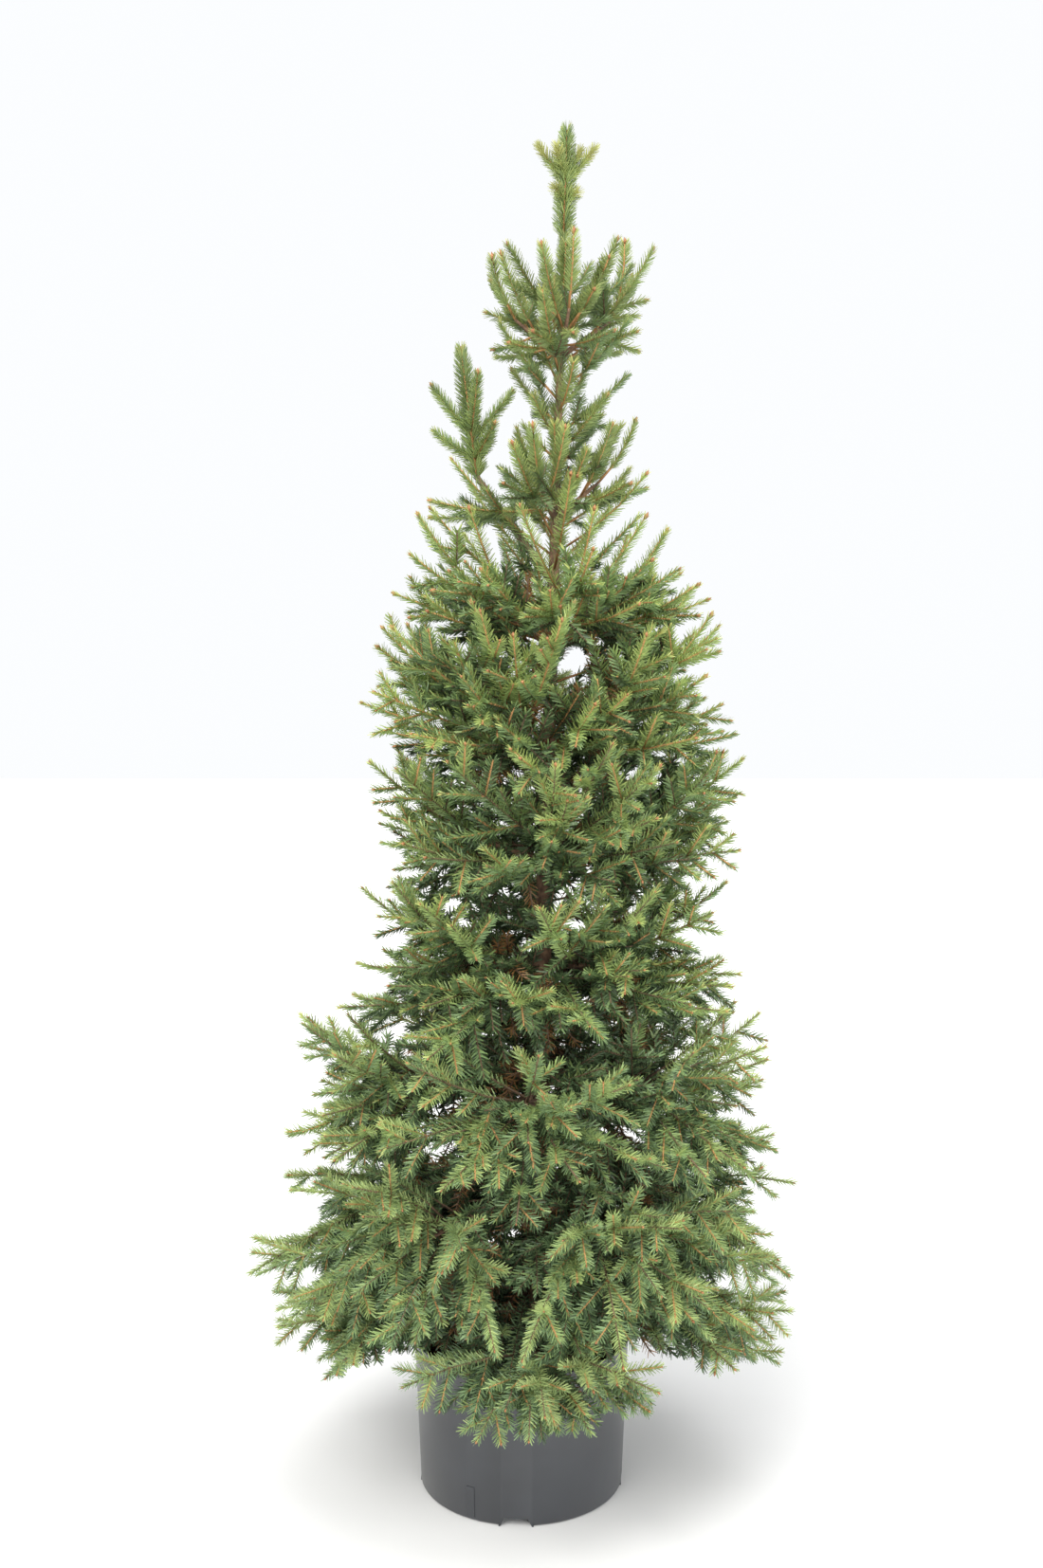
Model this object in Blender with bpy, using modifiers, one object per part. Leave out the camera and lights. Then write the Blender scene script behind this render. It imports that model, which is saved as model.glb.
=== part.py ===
"""Potted Norway spruce, about 2.2 m tall, in a round dark plastic nursery pot.

Units are metres and +Z is up. The origin is the middle of the pot's flat underside,
+X is the plant's right side seen from the front, and the front looks along -Y.
The trunk leans a little to +X, and the crown is described round that leaning line:
a distance out from it, an azimuth (0 at +X, 90 at the back) and a height.
"""

import math
import random

import bmesh
import bpy
from mathutils import Matrix, Vector
from mathutils.bvhtree import BVHTree

OBJECT_NAME = "potted_norway_spruce"
GAP = 0.0003

# Pot: a tapering shell with a slim lip and drain notches in its foot
POT_HEIGHT = 0.245
POT_FOOT_RADIUS = 0.1665
POT_RIM_RADIUS = 0.1770
POT_WALL = 0.0028
POT_FLOOR = 0.0035
POT_FOOT_ROUND = 0.006
LIP_HEIGHT = 0.006
LIP_STAND = 0.0020
LIP_BEVEL = 0.001
POT_SIDES = 40
NOTCH_COUNT = 4
NOTCH_FIRST_AZIMUTH = math.radians(267.0)
NOTCH_WIDTH_FOOT = 0.050
NOTCH_WIDTH_TOP = 0.037
NOTCH_HEIGHT = 0.0125
NOTCH_DEPTH = 0.026
NOTCH_ROOF = 0.0025
NOTCH_OVERRUN = 0.004
MARK_AZIMUTH = math.radians(241.5)
MARK_WIDTH = 0.014
MARK_HEIGHT = 0.048
MARK_LOW_EDGE = 0.007
MARK_STAND = 0.0008

# Compost in the pot
COMPOST_TOP = 0.226
COMPOST_EDGE_DROP = 0.006
COMPOST_LEVEL_RADIUS = 0.060
COMPOST_SLOPE_RADIUS = 0.120
COMPOST_SLOPE_DROP = 0.0018
COMPOST_SIDE_GAP = 0.0005

# Trunk: foot at the compost, tip where the leader shoot begins
TRUNK_FOOT_X = 0.016
TRUNK_LEAN = 0.0288
TRUNK_FOOT_RADIUS = 0.0205
TRUNK_TIP_RADIUS = 0.0036
TRUNK_TIP_HEIGHT = 2.035
FLARE_RADIUS = 0.015
FLARE_FALL = 0.030
FLARE_LOBES = 5
FLARE_LOBE_DEPTH = 0.16
FLARE_RINGS = (0.0, 0.012, 0.030, 0.060, 0.110)
TRUNK_RINGS = 14
TRUNK_BEVEL = 6

# Crown outline seen from the front: height, reach to -X and reach to +X from the pot's axis
CROWN_OUTLINE = (
    (0.12, 0.30, 0.27),
    (0.17, 0.38, 0.36),
    (0.24, 0.40, 0.44),
    (0.40, 0.445, 0.43),
    (0.47, 0.40, 0.42),
    (0.57, 0.385, 0.455),
    (0.66, 0.37, 0.40),
    (0.74, 0.40, 0.415),
    (0.82, 0.29, 0.36),
    (0.90, 0.26, 0.33),
    (1.14, 0.245, 0.375),
    (1.32, 0.26, 0.335),
    (1.46, 0.20, 0.31),
    (1.56, 0.20, 0.245),
    (1.66, 0.10, 0.18),
    (1.72, 0.01, 0.18),
    (1.80, 0.01, 0.21),
    (1.86, 0.05, 0.19),
    (1.92, 0.075, 0.21),
    (2.00, 0.045, 0.225),
    (2.05, 0.03, 0.13),
)
CROWN_DEPTH_RATIO = 0.96

# Tiers of the crown, from the skirt over the pot upward. A tier's space is a ring between
# two cones: its floor and the next tier's floor, each a height at the trunk and a slope
# out from it. The ring is shared out evenly among the tier's masses by azimuth.
TIERS = (
    {"name": "skirt", "floor": 0.290, "slope": -0.30, "masses": 5, "azimuth": 270.0},
    {"name": "low", "floor": 0.400, "slope": -0.18, "masses": 5, "azimuth": 12.0},
    {"name": "broad", "floor": 0.580, "slope": -0.05, "masses": 5, "azimuth": 48.0},
    {"name": "waist", "floor": 0.760, "slope": 0.10, "masses": 4, "azimuth": 30.0},
    {"name": "middle", "floor": 0.940, "slope": 0.25, "masses": 4, "azimuth": 0.0},
    {"name": "shoulder", "floor": 1.110, "slope": 0.40, "masses": 4, "azimuth": 60.0},
    {"name": "upper", "floor": 1.280, "slope": 0.60, "masses": 4, "azimuth": 15.0},
    {"name": "crest_low", "floor": 1.470, "slope": 0.80, "masses": 3, "azimuth": 0.0},
    {"name": "crest", "floor": 1.700, "slope": 0.90, "masses": 4, "azimuth": 8.0},
)
TIERS_TOP = {"floor": 1.990, "slope": 0.60}
BOUGH_TIERS = ("skirt", "low", "broad")
CREST_TIERS = ("crest_low", "crest")
# Every floor waves up and down round the crown, so that the masses of two tiers reach
# between each other and leave no straight gap: waves in the round, their height, and how
# far out they are full
WAVE_COUNT = 8
WAVE_HEIGHT = 0.020
WAVE_FULL_OUT = 0.20
WAVE_SHIFT = 10.0
# Sprays of a mass: share of the space's height, turn from its middle, share of the reach,
# roll in degrees, and where it leaves the stem as a share of the stem's length
TIER_SPRAYS = (
    (0.25, -0.88, 1.00, 60.0, 0.00),
    (0.25, 0.88, 1.00, 60.0, 0.00),
    (0.85, -0.70, 1.00, 45.0, 0.60),
    (0.80, 0.70, 1.00, 45.0, 0.40),
    (0.10, -0.35, 1.00, 35.0, 0.10),
    (0.10, 0.45, 0.90, 40.0, 0.25),
    (0.40, 0.00, 0.95, 70.0, 0.50),
    (0.88, 0.05, 1.00, 45.0, 0.70),
)
CREST_SPRAYS = (
    (0.22, -0.70, 1.00, 35.0, 0.10),
    (0.22, 0.00, 1.00, 35.0, 0.50),
    (0.22, 0.70, 1.00, 35.0, 0.10),
    (0.72, -0.60, 1.00, 40.0, 0.40),
    (0.72, 0.00, 1.00, 40.0, 0.93),
    (0.72, 0.60, 1.00, 40.0, 0.40),
)
# How far the seeded rule strays: degrees of turn, share of height, share of the reach,
# share of the stem, and degrees of roll
TURN_JITTER = 3.0
LEVEL_JITTER = 0.03
REACH_RANGE = (0.95, 1.02)
ROOT_JITTER = 0.06
ROLL_JITTER = 10.0
STEM_BURY = 0.004
SPRAY_BENDS = (0.05, 0.25)
SECTOR_MARGIN = 0.0015
CONE_MARGIN = 0.0030
POT_CLEAR_ABOVE = 0.010
POT_CLEAR_BESIDE = 0.006
BOUGH_END_RATIO = 0.42
STEM_END_RATIO = 0.57
BOUGH_FOOT_RADIUS = 0.0085
BOUGH_TIP_RADIUS = 0.0055
BOUGH_ARCH = 0.012
BOUGH_STRAIGHT_SHARE = 0.8
STEM_RADIUS = 0.0052
STEM_TIP_RADIUS = 0.0038
LIMB_CLEARANCE = 0.0012

# Sprays: toothed blades, thickest along the midrib. One that would leave its space is
# tried with other shares of its roll and width, and is left out if it still doesn't fit.
FIT_TRIES = ((1.0, 1.0), (0.5, 1.0), (-0.5, 1.0), (1.0, 0.7), (0.3, 0.7), (0.0, 0.5))
SPRAY_WIDTH_RATIO = 0.31
CREST_WIDTH_RATIO = 0.19
SPRAY_WIDEST = 0.085
SPRAY_ROOT = 0.0021
SPRAY_THICKNESS_RATIO = 0.028
SPRAY_LEAST_THICKNESS = 0.0025
SPRAY_THINNING = 0.6
TOOTH_VALLEY = 0.30
TOOTH_LEAN = 0.79
TOOTH_TAPER = 0.58
SPRAY_TEETH = 2
SPRAY_BARE_SHARE = 0.21
SLIM_TEETH = 5
SLIM_BARE_SHARE = 0.04

# Leader shoot above the trunk's tip: a brush of needles and a small whorl at its top
LEADER_HEIGHT = 2.210
LEADER_WHORLS = (
    {"height": 2.118, "count": 4, "azimuth": 5.0, "reach": 0.050, "rise": 42.0},
)
BRUSH_WIDTH_RATIO = 0.125
BRUSH_ROLL = math.radians(80.0)
WHORL_STEP = 0.006
WHORL_ROLL = math.radians(20.0)
WHORL_WIDTH_RATIO = 0.24

# Second leader: a bough from the trunk that turns upright on the left
SECOND_FOOT_HEIGHT = 1.480
SECOND_TURN = Vector((-0.072, -0.010, 1.650))
SECOND_TIP = Vector((-0.097, -0.014, 1.852))
SECOND_FOOT_RADIUS = 0.0075
SECOND_TIP_RADIUS = 0.0050
SECOND_SEAT = 0.0015
SECOND_BENDS = (0.45, 0.85)
SECOND_UPRIGHT_RUN = (0.006, 0.016)
SECOND_WHORLS = (
    {"height": 1.676, "count": 3, "azimuth": 180.0, "reach": 0.062, "rise": 30.0},
    {"height": 1.712, "count": 4, "azimuth": 10.0, "reach": 0.066, "rise": 45.0},
)

SEED = 41


def trunk_axis(height):
    """The middle of the trunk's leaning line at a height."""
    return Vector((TRUNK_FOOT_X + TRUNK_LEAN * (height - COMPOST_TOP), 0.0, height))


def crown_point(out, azimuth, height):
    """The point at a distance and azimuth from the trunk's line, at a height."""
    return trunk_axis(height) + Vector((math.cos(azimuth), math.sin(azimuth), 0.0)) * out


def trunk_radius(height):
    span = TRUNK_TIP_HEIGHT - COMPOST_TOP
    along = min(max((height - COMPOST_TOP) / span, 0.0), 1.0)
    wood = TRUNK_FOOT_RADIUS + (TRUNK_TIP_RADIUS - TRUNK_FOOT_RADIUS) * along
    return wood + FLARE_RADIUS * math.exp(-(height - COMPOST_TOP) / FLARE_FALL)


def outline_at(height, side):
    """Reach to -X (side 1) or +X (side 2) from the pot's axis at a height."""
    rows = CROWN_OUTLINE
    height = min(max(height, rows[0][0]), rows[-1][0])
    for low, high in zip(rows, rows[1:]):
        if height <= high[0]:
            along = (height - low[0]) / (high[0] - low[0])
            return low[side] + (high[side] - low[side]) * along
    return rows[-1][side]


def crown_reach(height, azimuth):
    """How far the crown reaches from the trunk's line, on an oval with unlike ends."""
    lean = trunk_axis(height).x
    left = outline_at(height, 1) + lean
    right = outline_at(height, 2) - lean
    depth = 0.5 * (left + right) * CROWN_DEPTH_RATIO
    width = right if math.cos(azimuth) > 0.0 else left
    return 1.0 / math.hypot(math.cos(azimuth) / width, math.sin(azimuth) / depth)


def tier_floor(tier, out):
    """The height of a tier's even floor at a distance out from the trunk's line."""
    return tier["floor"] + tier["slope"] * out


def wavy_floor(tier, out, azimuth):
    """A tier's floor with its waves."""
    wave = math.sin(WAVE_COUNT * azimuth + WAVE_SHIFT * tier["floor"])
    return tier_floor(tier, out) + WAVE_HEIGHT * wave * min(out / WAVE_FULL_OUT, 1.0)


# Scene, materials and mesh helpers


def clear_scene():
    for item in list(bpy.data.objects):
        bpy.data.objects.remove(item, do_unlink=True)


def new_collection(name):
    collection = bpy.data.collections.new(name)
    bpy.context.scene.collection.children.link(collection)
    return collection


def plain_material(name, colour, roughness):
    material = bpy.data.materials.new(name)
    material.use_nodes = True
    shader = material.node_tree.nodes["Principled BSDF"]
    shader.inputs["Base Color"].default_value = (*colour, 1.0)
    shader.inputs["Roughness"].default_value = roughness
    shader.inputs["Metallic"].default_value = 0.0
    material.diffuse_color = (*colour, 1.0)
    return material


def add_mesh(name, mesh, collection, material=None):
    item = bpy.data.objects.new(name, mesh)
    collection.objects.link(item)
    if material:
        mesh.materials.clear()
        mesh.materials.append(material)
    return item


def bmesh_object(name, shape, collection, material=None):
    mesh = bpy.data.meshes.new(name)
    shape.to_mesh(mesh)
    shape.free()
    return add_mesh(name, mesh, collection, material)


def turned(name, profile, collection):
    """A profile of (radius, height) pairs turned round the Z axis, as a mesh."""
    mesh = bpy.data.meshes.new(name)
    points = [(radius, 0.0, height) for radius, height in profile]
    edges = [(i, i + 1) for i in range(len(points) - 1)]
    mesh.from_pydata(points, edges, [])
    item = add_mesh(name, mesh, collection)
    screw = item.modifiers.new("Turn", "SCREW")
    screw.steps = POT_SIDES
    screw.render_steps = POT_SIDES
    screw.use_merge_vertices = True
    screw.merge_threshold = 0.00005
    bake_modifiers(item)
    return item


def bake_modifiers(item):
    """Puts what an object's modifiers make in its own mesh."""
    bpy.context.view_layer.update()
    graph = bpy.context.evaluated_depsgraph_get()
    mesh = bpy.data.meshes.new_from_object(item.evaluated_get(graph))
    item.modifiers.clear()
    item.data = mesh


def boolean(item, operation, other=None, group=None):
    change = item.modifiers.new(operation.title(), "BOOLEAN")
    change.operation = operation
    change.solver = "EXACT"
    if group:
        change.operand_type = "COLLECTION"
        change.collection = group
    else:
        change.object = other


def remove_members(group):
    for item in list(group.objects):
        bpy.data.objects.remove(item, do_unlink=True)


def smooth(item, angle):
    item.data.shade_smooth()
    item.data.set_sharp_from_angle(angle=math.radians(angle))


# Pot and compost


def wall_radius(height):
    """The radius of the pot's outer wall at a height."""
    return POT_FOOT_RADIUS + (POT_RIM_RADIUS - POT_FOOT_RADIUS) * height / POT_HEIGHT


def radial_block(name, collection, azimuth, foot, top):
    """A block across a radius of the pot, between a foot and a top section.

    A section holds a height, an inner and an outer distance, and a width.
    """
    shape = bmesh.new()
    bmesh.ops.create_cube(shape, size=1.0)
    for vertex in shape.verts:
        height, inner, outer, width = top if vertex.co.z > 0.0 else foot
        out = outer if vertex.co.x > 0.0 else inner
        vertex.co = Vector((out, math.copysign(0.5 * width, vertex.co.y), height))
    shape.transform(Matrix.Rotation(azimuth, 4, "Z"))
    return bmesh_object(name, shape, collection)


def notch_blocks(collection, name, grow, inward):
    """One block for each drain notch, larger all round by grow."""
    slope = (NOTCH_WIDTH_FOOT - NOTCH_WIDTH_TOP) / NOTCH_HEIGHT
    foot = NOTCH_WIDTH_FOOT + 2.0 * grow
    top = foot - slope * (NOTCH_HEIGHT + grow)
    below = 0.0 if inward else NOTCH_OVERRUN
    outer = wall_radius(0.0) - 0.5 * POT_WALL if inward else POT_RIM_RADIUS + NOTCH_OVERRUN
    inner = POT_FOOT_RADIUS - NOTCH_DEPTH - grow
    for i in range(NOTCH_COUNT):
        azimuth = NOTCH_FIRST_AZIMUTH + 2.0 * math.pi * i / NOTCH_COUNT
        low_section = (-below, inner, outer, foot + slope * below)
        top_section = (NOTCH_HEIGHT + grow, inner, outer, top)
        radial_block(f"{name}_{i}", collection, azimuth, low_section, top_section)


def build_pot(parts, cutters, material):
    inner_rim = POT_RIM_RADIUS - POT_WALL
    lip_foot = POT_HEIGHT - LIP_HEIGHT
    profile = [
        (0.0, POT_FLOOR),
        (wall_radius(POT_FLOOR) - POT_WALL, POT_FLOOR),
        (inner_rim, POT_HEIGHT),
        (POT_RIM_RADIUS + LIP_STAND - LIP_BEVEL, POT_HEIGHT),
        (POT_RIM_RADIUS + LIP_STAND, POT_HEIGHT - LIP_BEVEL),
        (wall_radius(lip_foot) + LIP_STAND, lip_foot + LIP_BEVEL),
        (wall_radius(lip_foot), lip_foot),
        (wall_radius(POT_FOOT_ROUND), POT_FOOT_ROUND),
        (wall_radius(0.0) - 0.3 * POT_FOOT_ROUND, 0.3 * POT_FOOT_ROUND),
        (wall_radius(0.0) - POT_FOOT_ROUND, 0.0),
        (0.0, 0.0),
    ]
    pot = turned("pot", profile, parts)
    roofs = new_collection("pot_notch_roofs")
    notch_blocks(roofs, "notch_roof", NOTCH_ROOF, True)
    sections = []
    for height in (MARK_LOW_EDGE, MARK_LOW_EDGE + MARK_HEIGHT):
        out = wall_radius(height)
        sections.append((height, out - 0.6 * POT_WALL, out + MARK_STAND, MARK_WIDTH))
    radial_block("mould_mark", roofs, MARK_AZIMUTH, *sections)
    boolean(pot, "UNION", group=roofs)
    bake_modifiers(pot)
    remove_members(roofs)
    notch_blocks(cutters, "notch_cut", 0.0, False)
    boolean(pot, "DIFFERENCE", group=cutters)
    bake_modifiers(pot)
    remove_members(cutters)
    pot.data.materials.clear()
    pot.data.materials.append(material)
    smooth(pot, 30.0)
    return pot


def build_compost(parts, cutters, material):
    low = POT_FLOOR + GAP
    top_edge = COMPOST_TOP - COMPOST_EDGE_DROP
    inside = POT_WALL + COMPOST_SIDE_GAP
    profile = [
        (0.0, COMPOST_TOP),
        (COMPOST_LEVEL_RADIUS, COMPOST_TOP),
        (COMPOST_SLOPE_RADIUS, COMPOST_TOP - COMPOST_SLOPE_DROP),
        (wall_radius(top_edge) - inside, top_edge),
        (wall_radius(low) - inside, low),
        (0.0, low),
    ]
    compost = turned("compost", profile, parts)
    notch_blocks(cutters, "compost_cut", NOTCH_ROOF + COMPOST_SIDE_GAP, False)
    boolean(compost, "DIFFERENCE", group=cutters)
    bake_modifiers(compost)
    remove_members(cutters)
    compost.data.materials.clear()
    compost.data.materials.append(material)
    smooth(compost, 30.0)
    return compost


# Trunk and boughs


def limb(name, points, radii, collection, material, bevel_resolution):
    """A tapering limb along a run of points, as one closed mesh with flat ends."""
    curve = bpy.data.curves.new(name + "_line", "CURVE")
    curve.dimensions = "3D"
    curve.bevel_depth = 1.0
    curve.bevel_resolution = bevel_resolution
    curve.use_fill_caps = True
    spline = curve.splines.new("POLY")
    spline.points.add(len(points) - 1)
    for point, place, radius in zip(spline.points, points, radii):
        point.co = (*place, 1.0)
        point.radius = radius
    guide = bpy.data.objects.new(name + "_line", curve)
    collection.objects.link(guide)
    bpy.context.view_layer.update()
    graph = bpy.context.evaluated_depsgraph_get()
    mesh = bpy.data.meshes.new_from_object(guide.evaluated_get(graph))
    mesh.name = name
    bpy.data.objects.remove(guide, do_unlink=True)
    shape = bmesh.new()
    shape.from_mesh(mesh)
    bmesh.ops.remove_doubles(shape, verts=shape.verts, dist=0.00001)
    shape.to_mesh(mesh)
    shape.free()
    item = add_mesh(name, mesh, collection, material)
    smooth(item, 60.0)
    return item


def build_trunk(parts, material):
    foot = COMPOST_TOP + GAP
    heights = [foot + ring for ring in FLARE_RINGS]
    above_flare = heights[-1]
    rest = TRUNK_RINGS - len(heights)
    for i in range(1, rest + 1):
        heights.append(above_flare + (TRUNK_TIP_HEIGHT - above_flare) * i / rest)
    points = [trunk_axis(height) for height in heights]
    # The first stretch stands straight, so that the cut at the compost is level
    points[1].x = points[0].x
    radii = [trunk_radius(height) for height in heights]
    trunk = limb("trunk", points, radii, parts, material, TRUNK_BEVEL)
    for vertex in trunk.data.vertices:
        middle = trunk_axis(vertex.co.z)
        away = Vector((vertex.co.x - middle.x, vertex.co.y, 0.0))
        if away.length > 0.001:
            fade = math.exp(-(vertex.co.z - foot) / FLARE_FALL)
            lobe = math.cos(FLARE_LOBES * math.atan2(away.y, away.x))
            vertex.co += away * FLARE_LOBE_DEPTH * lobe * fade
    return trunk


def limb_tree(item, clearance):
    """A search tree of a limb's skin, moved out by the clearance."""
    shape = bmesh.new()
    shape.from_mesh(item.data)
    shape.normal_update()
    moves = [vertex.normal * clearance for vertex in shape.verts]
    for vertex, move in zip(shape.verts, moves):
        vertex.co += move
    tree = BVHTree.FromBMesh(shape)
    shape.free()
    return tree


# Sprays and masses


def level_frame(forward):
    """Two directions square to a direction: one level, and one that points up or out."""
    side = Vector((0.0, 0.0, 1.0)).cross(forward)
    if side.length < 0.05:
        side = Vector((1.0, 0.0, 0.0)).cross(forward)
    side.normalize()
    return side, forward.cross(side)


def spray(root, tip, roll, bend, width_ratio, root_size=SPRAY_ROOT):
    """A toothed blade from root to tip, thick along its midrib and thin at its teeth."""
    axis = tip - root
    length = axis.length
    forward = axis.normalized()
    side, up = level_frame(forward)
    across = side * math.cos(roll) + up * math.sin(roll)
    normal = forward.cross(across)
    half_width = min(width_ratio * length, SPRAY_WIDEST)
    thickness = max(SPRAY_THICKNESS_RATIO * length, SPRAY_LEAST_THICKNESS)
    slim = root_size > SPRAY_ROOT
    bare = SLIM_BARE_SHARE if slim else SPRAY_BARE_SHARE
    teeth = SLIM_TEETH if slim else SPRAY_TEETH

    def place(along, out, off):
        lift = bend * length * (along * along - along)
        return root + forward * along * length + across * out + normal * off + up * lift

    shape = bmesh.new()
    spacing = (1.0 - bare) / teeth
    valleys = [bare + k * spacing for k in range(teeth)]
    end = shape.verts.new(place(1.0, 0.0, 0.0))
    ridges = []
    for sign in (-1.0, 1.0):
        ridge = [shape.verts.new(place(0.0, 0.0, sign * root_size))]
        for valley in valleys:
            off = sign * thickness * (1.0 - SPRAY_THINNING * valley)
            ridge.append(shape.verts.new(place(valley, 0.0, off)))
        ridges.append(ridge)
    rims = []
    for sign in (-1.0, 1.0):
        rim = [shape.verts.new(place(0.0, sign * root_size, 0.0))]
        for k, valley in enumerate(valleys):
            reach = sign * half_width * (1.0 - TOOTH_TAPER * k / teeth)
            inner = reach * TOOTH_VALLEY if k else sign * root_size
            rim.append(shape.verts.new(place(valley, inner, 0.0)))
            rim.append(shape.verts.new(place(valley + TOOTH_LEAN * spacing, reach, 0.0)))
        rim.append(end)
        rims.append(rim)
    for rim in rims:
        for ridge in ridges:
            shape.faces.new((rim[0], rim[1], ridge[0]))
            shape.faces.new((rim[1], ridge[1], ridge[0]))
            for k in range(teeth):
                valley, point, beyond = rim[2 * k + 1], rim[2 * k + 2], rim[2 * k + 3]
                shape.faces.new((valley, point, ridge[k + 1]))
                shape.faces.new((point, beyond, ridge[k + 1]))
                if k + 1 < teeth:
                    shape.faces.new((beyond, ridge[k + 2], ridge[k + 1]))
    shape.faces.new((ridges[0][0], rims[0][0], ridges[1][0]))
    shape.faces.new((ridges[0][0], rims[1][0], ridges[1][0]))
    bmesh.ops.recalc_face_normals(shape, faces=shape.faces)
    return shape


def stem(name, start, end, radii, collection):
    """A four-sided twig with one corner on top, so that it meets the trunk closely."""
    axis = end - start
    forward = axis.normalized()
    side, up = level_frame(forward)
    shape = bmesh.new()
    bmesh.ops.create_cone(
        shape, cap_ends=True, segments=4, radius1=radii[0], radius2=radii[1], depth=axis.length
    )
    turn = Matrix((-side, up, forward)).transposed().to_4x4()
    shape.transform(Matrix.Translation((start + end) * 0.5) @ turn)
    bmesh.ops.recalc_face_normals(shape, faces=shape.faces)
    return bmesh_object(name, shape, collection)


class Space:
    """The room that one mass keeps to: a sector of the ring between two cones."""

    def __init__(self, tier, ceiling, middle, half_angle):
        self.tier = tier
        self.ceiling = ceiling
        self.middle = middle
        self.half_angle = half_angle

    def holds(self, point):
        away = point - trunk_axis(point.z)
        out = math.hypot(away.x, away.y)
        azimuth = math.atan2(away.y, away.x)
        if point.z < wavy_floor(self.tier, out, azimuth) + CONE_MARGIN:
            return False
        if point.z > wavy_floor(self.ceiling, out, azimuth) - CONE_MARGIN:
            return False
        turn = (azimuth - self.middle + math.pi) % (2.0 * math.pi) - math.pi
        if abs(turn) > self.half_angle:
            return False
        if out * math.sin(self.half_angle - abs(turn)) < SECTOR_MARGIN:
            return False
        return clear_of_pot(point)


def clear_of_pot(point):
    """Whether a point lies above the pot or beyond its rim."""
    out = math.hypot(point.x, point.y)
    if point.z > POT_HEIGHT + POT_CLEAR_ABOVE:
        return True
    return out > POT_RIM_RADIUS + LIP_STAND + POT_CLEAR_BESIDE


def fits(shape, space, trees):
    """Whether a spray's corners and edges keep to a space and miss the limbs."""
    points = [vertex.co.copy() for vertex in shape.verts]
    points += [(edge.verts[0].co + edge.verts[1].co) * 0.5 for edge in shape.edges]
    if not all(space.holds(point) for point in points):
        return False
    tree = BVHTree.FromBMesh(shape)
    return not any(tree.overlap(other) for other in trees)


def keep_main_body(item):
    """Keeps an object's largest body: sealed hollows are filled and loose scraps dropped."""
    shape = bmesh.new()
    shape.from_mesh(item.data)
    left = set(shape.verts)
    bodies = []
    while left:
        body = set()
        reached = [left.pop()]
        while reached:
            vertex = reached.pop()
            body.add(vertex)
            for edge in vertex.link_edges:
                other = edge.other_vert(vertex)
                if other in left:
                    left.remove(other)
                    reached.append(other)
        bodies.append(body)
    bodies.sort(key=len, reverse=True)
    for body in bodies[1:]:
        bmesh.ops.delete(shape, geom=list(body), context="VERTS")
    shape.to_mesh(item.data)
    shape.free()


def join_mass(name, core, group, parts, material):
    """Joins a stem and its sprays into one closed solid."""
    boolean(core, "UNION", group=group)
    bake_modifiers(core)
    remove_members(group)
    keep_main_body(core)
    for owner in list(core.users_collection):
        owner.objects.unlink(core)
    parts.objects.link(core)
    core.name = name
    core.data.name = name
    core.data.materials.clear()
    core.data.materials.append(material)
    return core


def tier_line(tier, ceiling, out):
    """The height half way between a tier's floor and the next, where its limbs run."""
    return 0.5 * (tier_floor(tier, out) + tier_floor(ceiling, out))


def target_point(space, azimuth, level, shrink):
    """A point on the crown's outline in a space, at a share of the space's height there."""
    out = crown_reach(space.tier["floor"], azimuth) * shrink
    for _ in range(4):
        low = wavy_floor(space.tier, out, azimuth)
        height = low + level * (wavy_floor(space.ceiling, out, azimuth) - low)
        out = crown_reach(height, azimuth) * shrink
    return crown_point(out, azimuth, height)


def tier_sprays(space, number, start_out, end_out):
    """Root and tip, roll and bend of each spray of one mass, by the seeded rule."""
    rows = CREST_SPRAYS if space.tier["name"] in CREST_TIERS else TIER_SPRAYS
    for order, (level, turn, reach, tilt, root_share) in enumerate(rows):
        rng = random.Random(SEED + 100 * number + order)
        jitter = math.radians(rng.uniform(-TURN_JITTER, TURN_JITTER))
        azimuth = space.middle + turn * space.half_angle + jitter
        height = level + rng.uniform(-LEVEL_JITTER, LEVEL_JITTER)
        tip = target_point(space, azimuth, height, reach * rng.uniform(*REACH_RANGE))
        along = root_share + rng.uniform(0.0, ROOT_JITTER)
        out = start_out + (end_out - start_out) * along
        root = crown_point(out, space.middle, tier_line(space.tier, space.ceiling, out))
        tilt += rng.uniform(-ROLL_JITTER, ROLL_JITTER)
        roll = math.radians(rng.choice((-1.0, 1.0)) * tilt)
        yield root, tip, roll, rng.uniform(*SPRAY_BENDS)


def middle_reach(space):
    """How far out the crown's outline lies along the middle line of a space."""
    out = crown_reach(space.tier["floor"], space.middle)
    for _ in range(3):
        out = crown_reach(tier_line(space.tier, space.ceiling, out), space.middle)
    return out


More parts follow.
